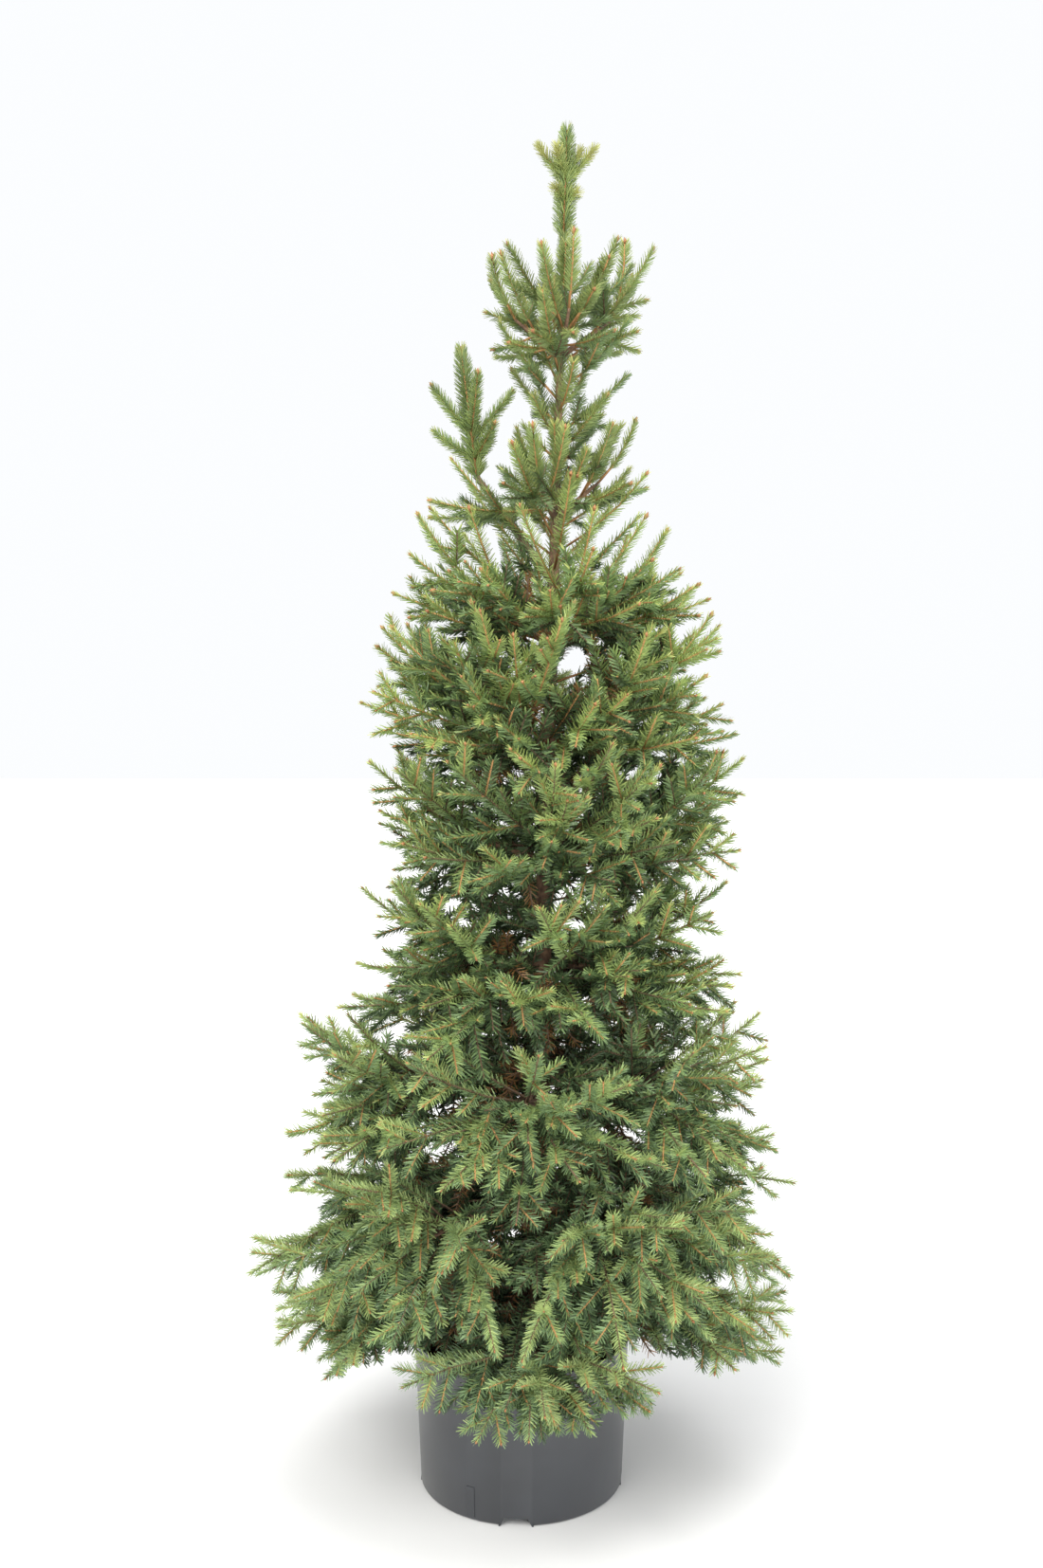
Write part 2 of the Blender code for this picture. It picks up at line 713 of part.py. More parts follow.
def build_tier_mass(name, number, space, bough, trees, group, parts, material):
    tier = space.tier
    middle_out = middle_reach(space)
    end_out = STEM_END_RATIO * middle_out
    rise = math.atan(0.5 * (tier["slope"] + space.ceiling["slope"]))
    if bough:
        start_out = BOUGH_END_RATIO * middle_out + GAP
        start = bough["tip"] + bough["direction"] * GAP
        radius = BOUGH_TIP_RADIUS
    else:
        height = tier_line(tier, space.ceiling, TRUNK_FOOT_RADIUS)
        start_out = trunk_radius(height) + GAP + STEM_RADIUS * abs(math.sin(rise))
        start = crown_point(start_out, space.middle, tier_line(tier, space.ceiling, start_out))
        radius = STEM_RADIUS
    end = crown_point(end_out, space.middle, tier_line(tier, space.ceiling, end_out))
    core = stem(name, start, end, (radius, STEM_TIP_RADIUS), parts)
    kept = 0
    width_ratio = CREST_WIDTH_RATIO if tier["name"] in CREST_TIERS else SPRAY_WIDTH_RATIO
    for root, tip, roll, bend in tier_sprays(space, number, start_out + STEM_BURY, end_out):
        for flatter, narrower in FIT_TRIES:
            shape = spray(root, tip, roll * flatter, bend, width_ratio * narrower)
            if fits(shape, space, trees):
                bmesh_object(f"{name}_spray_{kept}", shape, group)
                kept += 1
                break
            shape.free()
    return join_mass(name, core, group, parts, material)


def bough_lift(share):
    """How far a bough arches above its tier's middle line; its last stretch is straight."""
    return BOUGH_ARCH * math.sin(math.pi * min(share / BOUGH_STRAIGHT_SHARE, 1.0))


def build_bough(name, space, parts, material):
    tier, ceiling = space.tier, space.ceiling
    end_out = BOUGH_END_RATIO * middle_reach(space)
    shares = (0.0, 0.25, 0.5, BOUGH_STRAIGHT_SHARE, 1.0)
    slope = 0.5 * (tier["slope"] + ceiling["slope"])
    first_slope = slope + bough_lift(shares[1]) / (shares[1] * end_out)
    lean_back = BOUGH_FOOT_RADIUS * abs(math.sin(math.atan(first_slope)))
    height = tier_line(tier, ceiling, lean_back)
    start_out = trunk_radius(height) + GAP + lean_back
    points = []
    for share in shares:
        out = start_out + (end_out - start_out) * share
        height = tier_line(tier, ceiling, out) + bough_lift(share)
        points.append(crown_point(out, space.middle, height))
    radii = [BOUGH_FOOT_RADIUS + (BOUGH_TIP_RADIUS - BOUGH_FOOT_RADIUS) * share for share in shares]
    item = limb(name, points, radii, parts, material, 1)
    return {"item": item, "tip": points[-1], "direction": (points[-1] - points[-2]).normalized()}


def whorl_sprays(whorl, line_foot, line_tip, group, prefix):
    """Sprays that stand out evenly all round an upright shoot, each a little higher."""
    rise = math.radians(whorl["rise"])
    for i in range(whorl["count"]):
        azimuth = math.radians(whorl["azimuth"]) + 2.0 * math.pi * i / whorl["count"]
        height = whorl["height"] + WHORL_STEP * i
        along = (height - line_foot.z) / (line_tip.z - line_foot.z)
        root = line_foot.lerp(line_tip, along)
        out = Vector((math.cos(azimuth), math.sin(azimuth), math.tan(rise)))
        shape = spray(root, root + out * whorl["reach"], WHORL_ROLL, 0.12, WHORL_WIDTH_RATIO)
        bmesh_object(f"{prefix}_{i}", shape, group)


def upright_mass(name, foot, tip, root_size, whorls, group, parts, material):
    """An upright leader shoot: a slim toothed core with small whorls of sprays."""
    shape = spray(foot, tip, BRUSH_ROLL, 0.0, BRUSH_WIDTH_RATIO, root_size)
    core = bmesh_object(name, shape, parts)
    for k, whorl in enumerate(whorls):
        whorl_sprays(whorl, foot, tip, group, f"{name}_whorl_{k}")
    return join_mass(name, core, group, parts, material)


def build_leader(group, parts, material):
    foot = trunk_axis(TRUNK_TIP_HEIGHT + GAP)
    top = trunk_axis(LEADER_HEIGHT)
    return upright_mass(
        "mass_leader", foot, top, TRUNK_TIP_RADIUS, LEADER_WHORLS, group, parts, material
    )


def build_second_bough(parts, material):
    middle = trunk_axis(SECOND_FOOT_HEIGHT)
    away = SECOND_TURN - middle
    level = math.hypot(away.x, away.y)
    rise = away.z / math.hypot(level, away.z)
    # The foot is cut square to the limb, so its upper edge leans back to the trunk
    lean_back = SECOND_FOOT_RADIUS * rise - SECOND_SEAT
    start_out = trunk_radius(SECOND_FOOT_HEIGHT) + GAP + lean_back
    start = middle + away * (start_out / level)
    upright = (SECOND_TIP - SECOND_TURN).normalized()
    points = [start]
    points += [start.lerp(SECOND_TURN, share) for share in SECOND_BENDS]
    points += [SECOND_TURN + upright * run for run in SECOND_UPRIGHT_RUN]
    drop = SECOND_TIP_RADIUS - SECOND_FOOT_RADIUS
    radii = [SECOND_FOOT_RADIUS + drop * i / (len(points) - 1) for i in range(len(points))]
    item = limb("bough_second_leader", points, radii, parts, material, 1)
    return {"item": item, "tip": points[-1], "direction": upright}


def build_second_leader(bough, group, parts, material):
    foot = bough["tip"] + bough["direction"] * GAP
    return upright_mass(
        "mass_second_leader",
        foot,
        SECOND_TIP,
        SECOND_TIP_RADIUS,
        SECOND_WHORLS,
        group,
        parts,
        material,
    )


def main():
    clear_scene()
    parts = new_collection(OBJECT_NAME)
    cutters = new_collection("cutters")
    group = new_collection("sprays")
    plastic = plain_material("pot_plastic", (0.035, 0.038, 0.043), 0.42)
    compost = plain_material("compost", (0.075, 0.045, 0.028), 0.95)
    bark = plain_material("bark", (0.17, 0.115, 0.08), 0.9)
    needles = plain_material("needles", (0.06, 0.14, 0.055), 0.6)

    build_pot(parts, cutters, plastic)
    build_compost(parts, cutters, compost)
    trunk = build_trunk(parts, bark)

    spaces = []
    for tier, ceiling in zip(TIERS, TIERS[1:] + (TIERS_TOP,)):
        half_angle = math.pi / tier["masses"]
        for i in range(tier["masses"]):
            middle = math.radians(tier["azimuth"]) + 2.0 * half_angle * i
            space = Space(tier, ceiling, middle, half_angle)
            spaces.append((f"{tier['name']}_{i + 1}", space))
    boughs = {}
    for name, space in spaces:
        if space.tier["name"] in BOUGH_TIERS:
            boughs[name] = build_bough(f"bough_{name}", space, parts, bark)
    second_bough = build_second_bough(parts, bark)
    second = build_second_leader(second_bough, group, parts, needles)
    build_leader(group, parts, needles)
    trees = [limb_tree(trunk, LIMB_CLEARANCE), limb_tree(second_bough["item"], LIMB_CLEARANCE)]
    trees += [limb_tree(bough["item"], LIMB_CLEARANCE) for bough in boughs.values()]
    trees.append(limb_tree(second, 0.0))
    for number, (name, space) in enumerate(spaces):
        bough = boughs.get(name)
        build_tier_mass(f"mass_{name}", number, space, bough, trees, group, parts, needles)


main()
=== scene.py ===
"""Looks of the potted Norway spruce: bark, twigs, needles, compost, pot and light.

Units are metres and +Z is up. The crown repeats the seeded rule that places the sprays of
the solids, and carries it on to side shoots, short shoots, needles and buds.
"""

import math
import random
from collections import namedtuple

import bmesh
import bpy
import numpy as np
from mathutils import Matrix, Vector, noise


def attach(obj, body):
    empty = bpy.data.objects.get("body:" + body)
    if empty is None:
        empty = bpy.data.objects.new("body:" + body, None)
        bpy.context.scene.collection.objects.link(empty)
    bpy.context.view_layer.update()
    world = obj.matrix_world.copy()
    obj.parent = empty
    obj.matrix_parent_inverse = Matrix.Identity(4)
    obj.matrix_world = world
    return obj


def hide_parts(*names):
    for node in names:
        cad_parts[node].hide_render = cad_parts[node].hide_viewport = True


SEED = 41
GOLDEN_ANGLE = math.pi * (3.0 - math.sqrt(5.0))

# Camera: one and a quarter metres up, two and a half metres in front of the pot
CAMERA_PLACE = (0.0, -2.48, 1.257)
CAMERA_DOWN = 2.4
CAMERA_LENS = 34.8
SENSOR_WIDTH = 36.0

# Lamps: place, width of the soft light in degrees, strength and colour
LAMPS = {
    "key": ((-1.5, -2.4, 3.8), 42.0, 2.8, (1.0, 0.985, 0.95)),
    "fill": ((0.9, -3.0, 1.3), 40.0, 1.9, (1.0, 1.0, 1.0)),
    "side": ((3.0, -1.3, 2.4), 50.0, 1.1, (1.0, 1.0, 1.0)),
    "top": ((0.3, -0.4, 4.2), 34.0, 1.4, (1.0, 1.0, 1.0)),
}
LAMP_AIM = Vector((0.0, 0.0, 1.0))
AMBIENT_STRENGTH = 0.54
BACKDROP_STRENGTH = 1.0
STUDIO_WHITE = (0.97, 0.985, 1.0, 1.0)
FLOOR_SIZE = 60.0
FLOOR_DROP = 0.0005

# Pot
POT_HEIGHT = 0.245
POT_FOOT_RADIUS = 0.1665
POT_RIM_RADIUS = 0.1770
POT_WALL = 0.0028
POT_FLOOR = 0.0035
POT_FOOT_ROUND = 0.006
POT_SIDES = 144
RIM_CHAMFER = 0.0006
LIP_HEIGHT = 0.006
LIP_STAND = 0.0020
LIP_BEVEL = 0.001
NOTCH_COUNT = 4
NOTCH_FIRST_AZIMUTH = math.radians(267.0)
NOTCH_WIDTH_FOOT = 0.050
NOTCH_WIDTH_TOP = 0.037
NOTCH_HEIGHT = 0.0125
NOTCH_DEPTH = 0.026
NOTCH_ROOF = 0.0025
NOTCH_OVERRUN = 0.004
MARK_AZIMUTH = math.radians(241.5)
MARK_WIDTH = 0.014
MARK_HEIGHT = 0.048
MARK_LOW_EDGE = 0.007
MARK_STAND = 0.0006

# Compost, and the dead needles and longer coir fibres that lie on it
COMPOST_TOP = 0.226
COMPOST_EDGE_DROP = 0.006
COMPOST_SKIRT = 0.03
LITTER_COUNT = 4200
LITTER_LENGTHS = (0.009, 0.017)
LITTER_HEIGHTS = (0.001, 0.010)
LITTER_WIDTH = 0.0009
COIR_COUNT = 350
COIR_LENGTH = 2.2

# Trunk
TRUNK_FOOT_X = 0.016
TRUNK_LEAN = 0.0288
TRUNK_FOOT_RADIUS = 0.0205
TRUNK_TIP_RADIUS = 0.0036
TRUNK_TIP_HEIGHT = 2.035
TRUNK_BURY = 0.012
TRUNK_STEP = 0.007
TRUNK_SIDES = 28
FLARE_RADIUS = 0.015
FLARE_FALL = 0.030
FLARE_LOBES = 5
FLARE_LOBE_DEPTH = 0.16
# Bark: height of its relief, and how many flakes there are to a metre
TRUNK_BARK = (0.0011, 130.0)
LIMB_BARK = (0.0005, 210.0)

# Crown outline seen from the front: height, reach to -X and reach to +X from the pot's axis
CROWN_OUTLINE = (
    (0.12, 0.30, 0.27),
    (0.17, 0.38, 0.36),
    (0.24, 0.40, 0.44),
    (0.40, 0.445, 0.43),
    (0.47, 0.40, 0.42),
    (0.57, 0.385, 0.455),
    (0.66, 0.37, 0.40),
    (0.74, 0.40, 0.415),
    (0.82, 0.29, 0.36),
    (0.90, 0.26, 0.33),
    (1.14, 0.245, 0.375),
    (1.32, 0.26, 0.335),
    (1.46, 0.20, 0.31),
    (1.56, 0.20, 0.245),
    (1.66, 0.10, 0.18),
    (1.72, 0.01, 0.18),
    (1.80, 0.01, 0.21),
    (1.86, 0.05, 0.19),
    (1.92, 0.075, 0.21),
    (2.00, 0.045, 0.225),
    (2.05, 0.03, 0.13),
)
CROWN_DEPTH_RATIO = 0.96

# Tiers of the crown, each a ring between two cones that is shared out by azimuth
Tier = namedtuple("Tier", "name floor slope masses azimuth")
TIERS = (
    Tier("skirt", 0.290, -0.30, 5, 270.0),
    Tier("low", 0.400, -0.18, 5, 12.0),
    Tier("broad", 0.580, -0.05, 5, 48.0),
    Tier("waist", 0.760, 0.10, 4, 30.0),
    Tier("middle", 0.940, 0.25, 4, 0.0),
    Tier("shoulder", 1.110, 0.40, 4, 60.0),
    Tier("upper", 1.280, 0.60, 4, 15.0),
    Tier("crest_low", 1.470, 0.80, 3, 0.0),
    Tier("crest", 1.700, 0.90, 4, 8.0),
)
TIERS_TOP = Tier("top", 1.990, 0.60, 0, 0.0)
BOUGH_TIERS = ("skirt", "low", "broad")
CREST_TIERS = ("crest_low", "crest")
REGIONS = {
    "skirt": ("skirt",),
    "low": ("low",),
    "broad": ("broad",),
    "middle": ("waist", "middle"),
    "upper": ("shoulder", "upper"),
    "crest": ("crest_low", "crest", "leader", "second_leader"),
}
REGION_OF = {tier: region for region, tiers in REGIONS.items() for tier in tiers}
WAVE_COUNT = 8
WAVE_HEIGHT = 0.020
WAVE_FULL_OUT = 0.20
WAVE_SHIFT = 10.0
# Sprays of a mass, as in the solids: share of the space's height, turn from its middle,
# share of the reach, roll, and where it leaves the stem
TIER_SPRAYS = (
    (0.25, -0.88, 1.00, 60.0, 0.00),
    (0.25, 0.88, 1.00, 60.0, 0.00),
    (0.85, -0.70, 1.00, 45.0, 0.60),
    (0.80, 0.70, 1.00, 45.0, 0.40),
    (0.10, -0.35, 1.00, 35.0, 0.10),
    (0.10, 0.45, 0.90, 40.0, 0.25),
    (0.40, 0.00, 0.95, 70.0, 0.50),
    (0.88, 0.05, 1.00, 45.0, 0.70),
)
CREST_SPRAYS = (
    (0.22, -0.70, 1.00, 35.0, 0.10),
    (0.22, 0.00, 1.00, 35.0, 0.50),
    (0.22, 0.70, 1.00, 35.0, 0.10),
    (0.72, -0.60, 1.00, 40.0, 0.40),
    (0.72, 0.00, 1.00, 40.0, 0.93),
    (0.72, 0.60, 1.00, 40.0, 0.40),
)
TURN_JITTER = 3.0
LEVEL_JITTER = 0.03
REACH_RANGE = (0.95, 1.02)
ROOT_JITTER = 0.06
ROLL_JITTER = 10.0
SPRAY_BENDS = (0.05, 0.25)

# Boughs and the stems beyond them
STEM_BURY = 0.004
BOUGH_END_RATIO = 0.42
STEM_END_RATIO = 0.57
BOUGH_RADII = (0.0085, 0.0055)
BOUGH_ARCH = 0.012
BOUGH_STRAIGHT_SHARE = 0.8
STEM_RADIUS = 0.0052
STEM_TIP_RADIUS = 0.0024
LIMB_STEPS = 26
LIMB_SIDES = 8

# Finer twigs that the rule adds here between those sprays, spread evenly over the space
FINER_PER_AREA = 52.0
FINER_LEAST = 2.5
FINER_LEVELS = (-0.10, 1.10)
FINER_TURNS = (-0.95, 0.95)
FINER_REACHES = (0.58, 1.04)
FINER_TILTS = (5.0, 50.0)
FINER_ROOTS = 0.75
FINER_SIZE = 0.95
EVEN_STEPS = (0.7549, 0.5698, 0.4302, 0.6180)
EVEN_SHIFT = 0.37
# Small twigs straight from the trunk between the tiers
TRUNK_TWIG_COUNT = 182
TRUNK_TWIG_HEIGHTS = (0.30, 1.94)
TRUNK_TWIG_CROWDING = 1.45
TRUNK_TWIG_REACHES = (0.45, 0.85)
TRUNK_TWIG_SIZE = 0.9
CREST_TWIG_REACHES = (0.70, 1.0)
CREST_HEIGHT = 1.46
CREST_CEILING = 2.01
# Twigs along both sides of each bough, by share of its length, and their reach
BOUGH_TWIG_SHARES = (0.20, 0.34, 0.48, 0.62, 0.76, 0.90)
BOUGH_TWIG_REACHES = (0.12, 0.20)
BOUGH_TWIG_TURNS = (0.6, 1.1)
BOUGH_TWIG_SIZE = 0.85
# Where the fringe over the pot ends, by turn from the front in degrees: it hangs low in
# front, is lifted on the diagonals and low again at the sides and the back
FRINGE_EDGE = (
    (0.0, 0.205),
    (26.0, 0.228),
    (44.0, 0.275),
    (62.0, 0.262),
    (84.0, 0.210),
    (180.0, 0.190),
)
# Room that shoots and twigs keep to the pot
SHOOT_GAP = 0.012
BOUGH_TWIG_GAP = 0.02
TRUNK_TWIG_GAP = 0.03

# Leader, and the second leader on the left
Whorl = namedtuple("Whorl", "height count azimuth reach rise")
LEADER_HEIGHT = 2.210
LEADER_END = 0.004
LEADER_WHORLS = (
    Whorl(2.122, 2, 8.0, 0.050, 46.0),
    Whorl(2.126, 3, 235.0, 0.026, 58.0),
    Whorl(2.088, 3, 340.0, 0.024, 35.0),
)
LEADER_WHORL_PALE = 0.62
WHORL_STEP = 0.003
WHORL_REACHES = (0.85, 1.05)
WHORL_BEND = 0.12
SECOND_FOOT_HEIGHT = 1.480
SECOND_TURN = Vector((-0.072, -0.010, 1.650))
SECOND_TIP = Vector((-0.097, -0.014, 1.852))
SECOND_FOOT_RADIUS = 0.0075
SECOND_TIP_RADIUS = 0.0050
SECOND_STEPS = 16
SECOND_SIDES = 10
SECOND_PLANE = Vector((1.0, 0.2, 0.0))
SECOND_WHORLS = (
    Whorl(1.676, 3, 180.0, 0.062, 30.0),
    Whorl(1.712, 4, 10.0, 0.066, 45.0),
)
# Needles on the trunk's young wood, in pieces from this height to its tip
YOUNG_WOOD_FOOT = 1.36
YOUNG_WOOD_PIECES = 6

# Habit by height: longest side shoot, one year's growth along a twig, how far a shoot heads
# up (or down, below zero), and how far it then bends, as a share of its length
HABITS = (
    (0.15, 0.076, 0.070, -0.62, -0.06),
    (0.45, 0.078, 0.070, -0.54, -0.05),
    (0.75, 0.080, 0.074, -0.36, -0.01),
    (1.05, 0.082, 0.078, -0.06, 0.05),
    (1.35, 0.084, 0.082, 0.16, 0.06),
    (1.65, 0.084, 0.100, 0.20, 0.05),
    (2.05, 0.082, 0.105, 0.20, 0.03),
)
RISE_RANGE = (0.5, 1.3)
RISE_JITTER = 0.1
LIFT_RANGE = (0.5, 1.5)
STRAIGHT_BELOW = 0.095
# Side shoots that hang do so the more, the older the node that they grow from
HANG_BY_AGE = (0.6, 1.4, 1.9)
OLDER_NODE_GROWTH = 0.28
YEAR_RANGE = (0.85, 1.1)
# The year's growth at a twig's end is longer than those before, the fan behind it shorter
END_GROWTH = (1.00, 1.30)
END_FAN_SIZE = 0.80
FAN_SPREAD = (38.0, 54.0)
FAN_REACHES = (0.80, 1.15)
THIRD_SHOOT_CHANCE = 0.55
THIRD_SHOOT_REACH = 0.8
SMALL_SHOOT_CHANCE = 0.50
SMALL_SHOOT_REACHES = (0.50, 0.72)
SMALL_SHOOT_PLACES = (0.25, 0.7)
SMALL_SHOOT_LAST = 0.9
CREST_SIZE = 0.95
CREST_SMALL_CHANCE = 0.05
CREST_THIRD_CHANCE = 0.15
SECOND_ORDER_LEAST = 0.105
SECOND_ORDER_SIZE = 0.70
SECOND_ORDER_FIRST = 0.30
# A shoot that would pass the outline by more than this is shortened, step by step
OUTLINE_MOST = 1.01
SHORTEN_TRIES = 5
SHORTEN_STEP = 0.85
# Needles' density and width by outness: the dark inside gets fewer, broader ones
INNER_DENSITY = ((0.45, 0.45), (0.65, 0.75), (0.82, 1.15))
INNER_WIDTH = ((0.45, 2.1), (0.65, 1.7), (0.85, 1.0))
CREST_DENSITY = 1.40
# Side shoots further in than this have brown, older bark
OLD_WITHIN = 0.72
# The upper tiers keep only some side shoots above this height
SHOULDER_HEIGHT = 1.50
SHOULDER_CHANCE = 0.04
# Shoots this far in have partly died and kept brown needles
DEAD_WITHIN = 0.58
DEAD_CHANCE = 0.30
# Twigs of the lowest tiers arch over and hang at their tips
DROOPING = ("skirt", "low")
DROOP = 1.3
TWIG_LEAST = 0.05
TWIG_SHORTEN_STEP = 0.9
TWIG_FIRST_NODE = 0.18
TWIG_BARE = 0.25
TWIG_DENSITY = 0.9
CREST_TWIG_DENSITY = 1.5
TWIG_RADIUS = 0.0025
SHOOT_RADIUS = 0.0023
SHOOT_TIP_RADIUS = 0.0015
LOW_SHOOT_RADIUS = 0.0014
TWIG_SIDES = 3
BENT_RINGS = 4
STRAIGHT_RINGS = 2

# Buds: rings by place along the shoot and radius, the point's place, and how much larger
# they are high up than low down
BUD_RINGS = ((-0.0006, 0.0012), (0.0018, 0.0018))
BUD_POINT = 0.0048
BUD_SIZES = (0.9, 1.4)
BUD_GROWTH = 0.7
BUD_OUTNESS = 0.85

# Needles: per metre of shoot, greatest width, and length, parting on top and spread from
# the shoot, each low and high in the crown
NEEDLES_PER_METRE = 1290.0
NEEDLE_WIDTH = 0.0022
NEEDLE_LENGTH = (0.0143, 0.0170)
NEEDLE_PARTING = (0.24, 0.66)
NEEDLE_SPREAD = (50.0, 43.0)
NEEDLE_LOW_HEIGHT = 0.3
NEEDLE_HEIGHT_SPAN = 1.2
NEEDLE_TIP_SHARE = 0.40
# How they vary, how far those below turn upwards, and how those at a shoot's end close up
NEEDLE_LENGTHS = (0.90, 1.08)
NEEDLE_WIDTHS = (0.85, 1.15)
NEEDLE_UPTURN = 0.28
NEEDLE_SIDE_SPREAD = 7.0
NEEDLE_SPREAD_DRIFT = 3.5
NEEDLE_END_CLOSING = 0.55
NEEDLE_END_SHORTENING = 0.30
NEEDLE_ROLL_DRIFT = 0.3
NEEDLE_RISE = 0.05
# Painted shade: needles on a twig's lower side, past this turn from its top, take the next
# deeper shade
SHADED_UNDER_TURN = 1.9
# Shares of a shoot's needles that are a step deeper or lighter than the rest
DEEPER_SHARE = 0.16
LIGHTER_SHARE = 0.16
# Lighter needles at a shoot's end start at this share of it, and grow above this height
TIP_START = 0.96
TIP_JITTER = 0.04
TIP_LOWEST = 0.60

# What a shoot is like unless its own facts differ: its radii, the bare share of its foot,
# and its needles' density, parting, lean, length, width and the share where they turn pale
USUAL_NUMBERS = {
    "foot_radius": SHOOT_RADIUS,
    "tip_radius": SHOOT_TIP_RADIUS,
    "bare": 0.06,
    "density": 1.0,
    "parted": 1.0,
    "lean": 1.0,
    "needle": 1.0,
    "wide": 1.0,
    "pale": TIP_START,
}
USUAL_FACTS = USUAL_NUMBERS | {"old": False, "dead": False, "bud": True, "shade": None}
UPRIGHT_SHOOT = {"parted": 0.45, "bare": 0.0, "density": 3.4, "needle": 1.34, "shade": "green"}
WHORL_SHOOT = {"foot_radius": 0.0022, "parted": 0.3, "density": 2.2, "needle": 0.95}
YOUNG_WOOD = {"parted": 0.0, "bare": 0.0, "lean": 0.85, "old": True, "bud": False}
SECOND_LIMB = {
    "foot_radius": SECOND_FOOT_RADIUS,
    "tip_radius": SECOND_TIP_RADIUS,
    "parted": 0.8,
    "bare": 0.15,
    "density": 1.3,
    "lean": 0.8,
    "old": True,
    "bud": False,
    "shade": "blue",
}

# A shoot's shade from deep to light: by outness from a middle value, by its upward heading
# and by height, with these limits between the shades. It is partly painted light and shade:
# darker where shade falls inside the crown, lighter on shoots that head up to the light, and
# lighter at the crown's foot and top where more light falls, besides the real step from old
# inner growth to new outer growth
SHADES = ("shade", "blue", "green", "fresh", "tip", "dead")
SHADE_NUMBER = {shade: i for i, shade in enumerate(SHADES)}
SHADE_LIMITS = (-0.05, 0.36, 0.68)
SHADE_MIDDLE = 0.62
SHADE_DRIFT = 0.16
LIGHTER_OUTWARD = 1.5
# Painted light: shoots that head upwards take a lighter green
PAINTED_LIGHT_UPWARD = 0.30
# Painted light: lighter at the crown's foot and top, where more light falls
PAINTED_LIGHT_BY_HEIGHT = (
    (0.15, 0.28),
    (0.50, 0.22),
    (0.85, 0.08),
    (1.20, 0.08),
    (1.50, 0.18),
    (2.00, 0.34),
)
NEEDLE_COLOURS = {
    "shade": (0.062, 0.102, 0.052),
    "blue": (0.168, 0.258, 0.128),
    "green": (0.235, 0.328, 0.134),
    "fresh": (0.318, 0.402, 0.158),
    "tip": (0.410, 0.450, 0.180),
    "dead": (0.270, 0.140, 0.060),
}
# The needles' colours from region to region: bluer low down, warmer towards the top
REGION_TINTS = {
    "skirt": (1.04, 1.03, 0.98),
    "low": (1.03, 1.03, 0.93),
    "broad": (1.02, 1.02, 0.88),
    "middle": (1.03, 1.03, 0.83),
    "upper": (1.06, 1.05, 0.80),
    "crest": (1.04, 0.98, 0.81),
}
# Darker and lighter drift round a needle's colour, and where a noise turns one into the other
NEEDLE_DRIFT = (0.78, 1.20)
DRIFT_STOPS = (0.35, 0.65)
# Wood and earth: dark and light colour, scale of the pattern, roughness and depth of bumps
WOODS = {
    "twigs_young": ((0.42, 0.20, 0.075), (0.60, 0.32, 0.13), 60.0, 0.85, 0.0),
    # Dark old bark, which is also painted shade on the twigs of shoots in the shade
    "twigs_old_and_shaded": ((0.11, 0.070, 0.042), (0.21, 0.135, 0.080), 60.0, 0.85, 0.0),
    "buds": ((0.28, 0.11, 0.045), (0.46, 0.22, 0.09), 90.0, 0.6, 0.0),
    "bark": ((0.095, 0.058, 0.038), (0.34, 0.205, 0.125), 70.0, 0.9, 0.001),
    "compost": ((0.020, 0.012, 0.007), (0.11, 0.058, 0.030), 60.0, 1.0, 0.003),
}
LITTER_COLOUR = (0.33, 0.14, 0.05)


# The rule of the solids: trunk, crown, tiers and sprays


def between(limits, share):
    return limits[0] + (limits[1] - limits[0]) * share


def from_rows(rows, key, column=1):
    """A value between the rows of a table, by the rows' first column."""
    key = min(max(key, rows[0][0]), rows[-1][0])
    for low, high in zip(rows, rows[1:]):
        if key <= high[0]:
            along = (key - low[0]) / (high[0] - low[0])
            return between((low[column], high[column]), along)
    return rows[-1][column]


def trunk_axis(height):
    """The middle of the trunk's leaning line at a height."""
    return Vector((TRUNK_FOOT_X + TRUNK_LEAN * (height - COMPOST_TOP), 0.0, height))


def crown_point(out, azimuth, height):
    """The point at a distance and azimuth from the trunk's line, at a height."""
    return trunk_axis(height) + Vector((math.cos(azimuth), math.sin(azimuth), 0.0)) * out


def trunk_radius(height):
    span = TRUNK_TIP_HEIGHT - COMPOST_TOP
    along = min(max((height - COMPOST_TOP) / span, 0.0), 1.0)
    wood = between((TRUNK_FOOT_RADIUS, TRUNK_TIP_RADIUS), along)
    return wood + FLARE_RADIUS * math.exp(-(height - COMPOST_TOP) / FLARE_FALL)


def crown_reach(height, azimuth):
    """How far the crown reaches from the trunk's line, on an oval with unlike ends."""
    lean = trunk_axis(height).x
    left = from_rows(CROWN_OUTLINE, height, 1) + lean
    right = from_rows(CROWN_OUTLINE, height, 2) - lean
    depth = 0.5 * (left + right) * CROWN_DEPTH_RATIO
    width = right if math.cos(azimuth) > 0.0 else left
    return 1.0 / math.hypot(math.cos(azimuth) / width, math.sin(azimuth) / depth)


def tier_floor(tier, out):
    return tier.floor + tier.slope * out


def wavy_floor(tier, out, azimuth):
    """A tier's floor with the waves that let its masses reach between those below."""
    wave = math.sin(WAVE_COUNT * azimuth + WAVE_SHIFT * tier.floor)
    return tier_floor(tier, out) + WAVE_HEIGHT * wave * min(out / WAVE_FULL_OUT, 1.0)


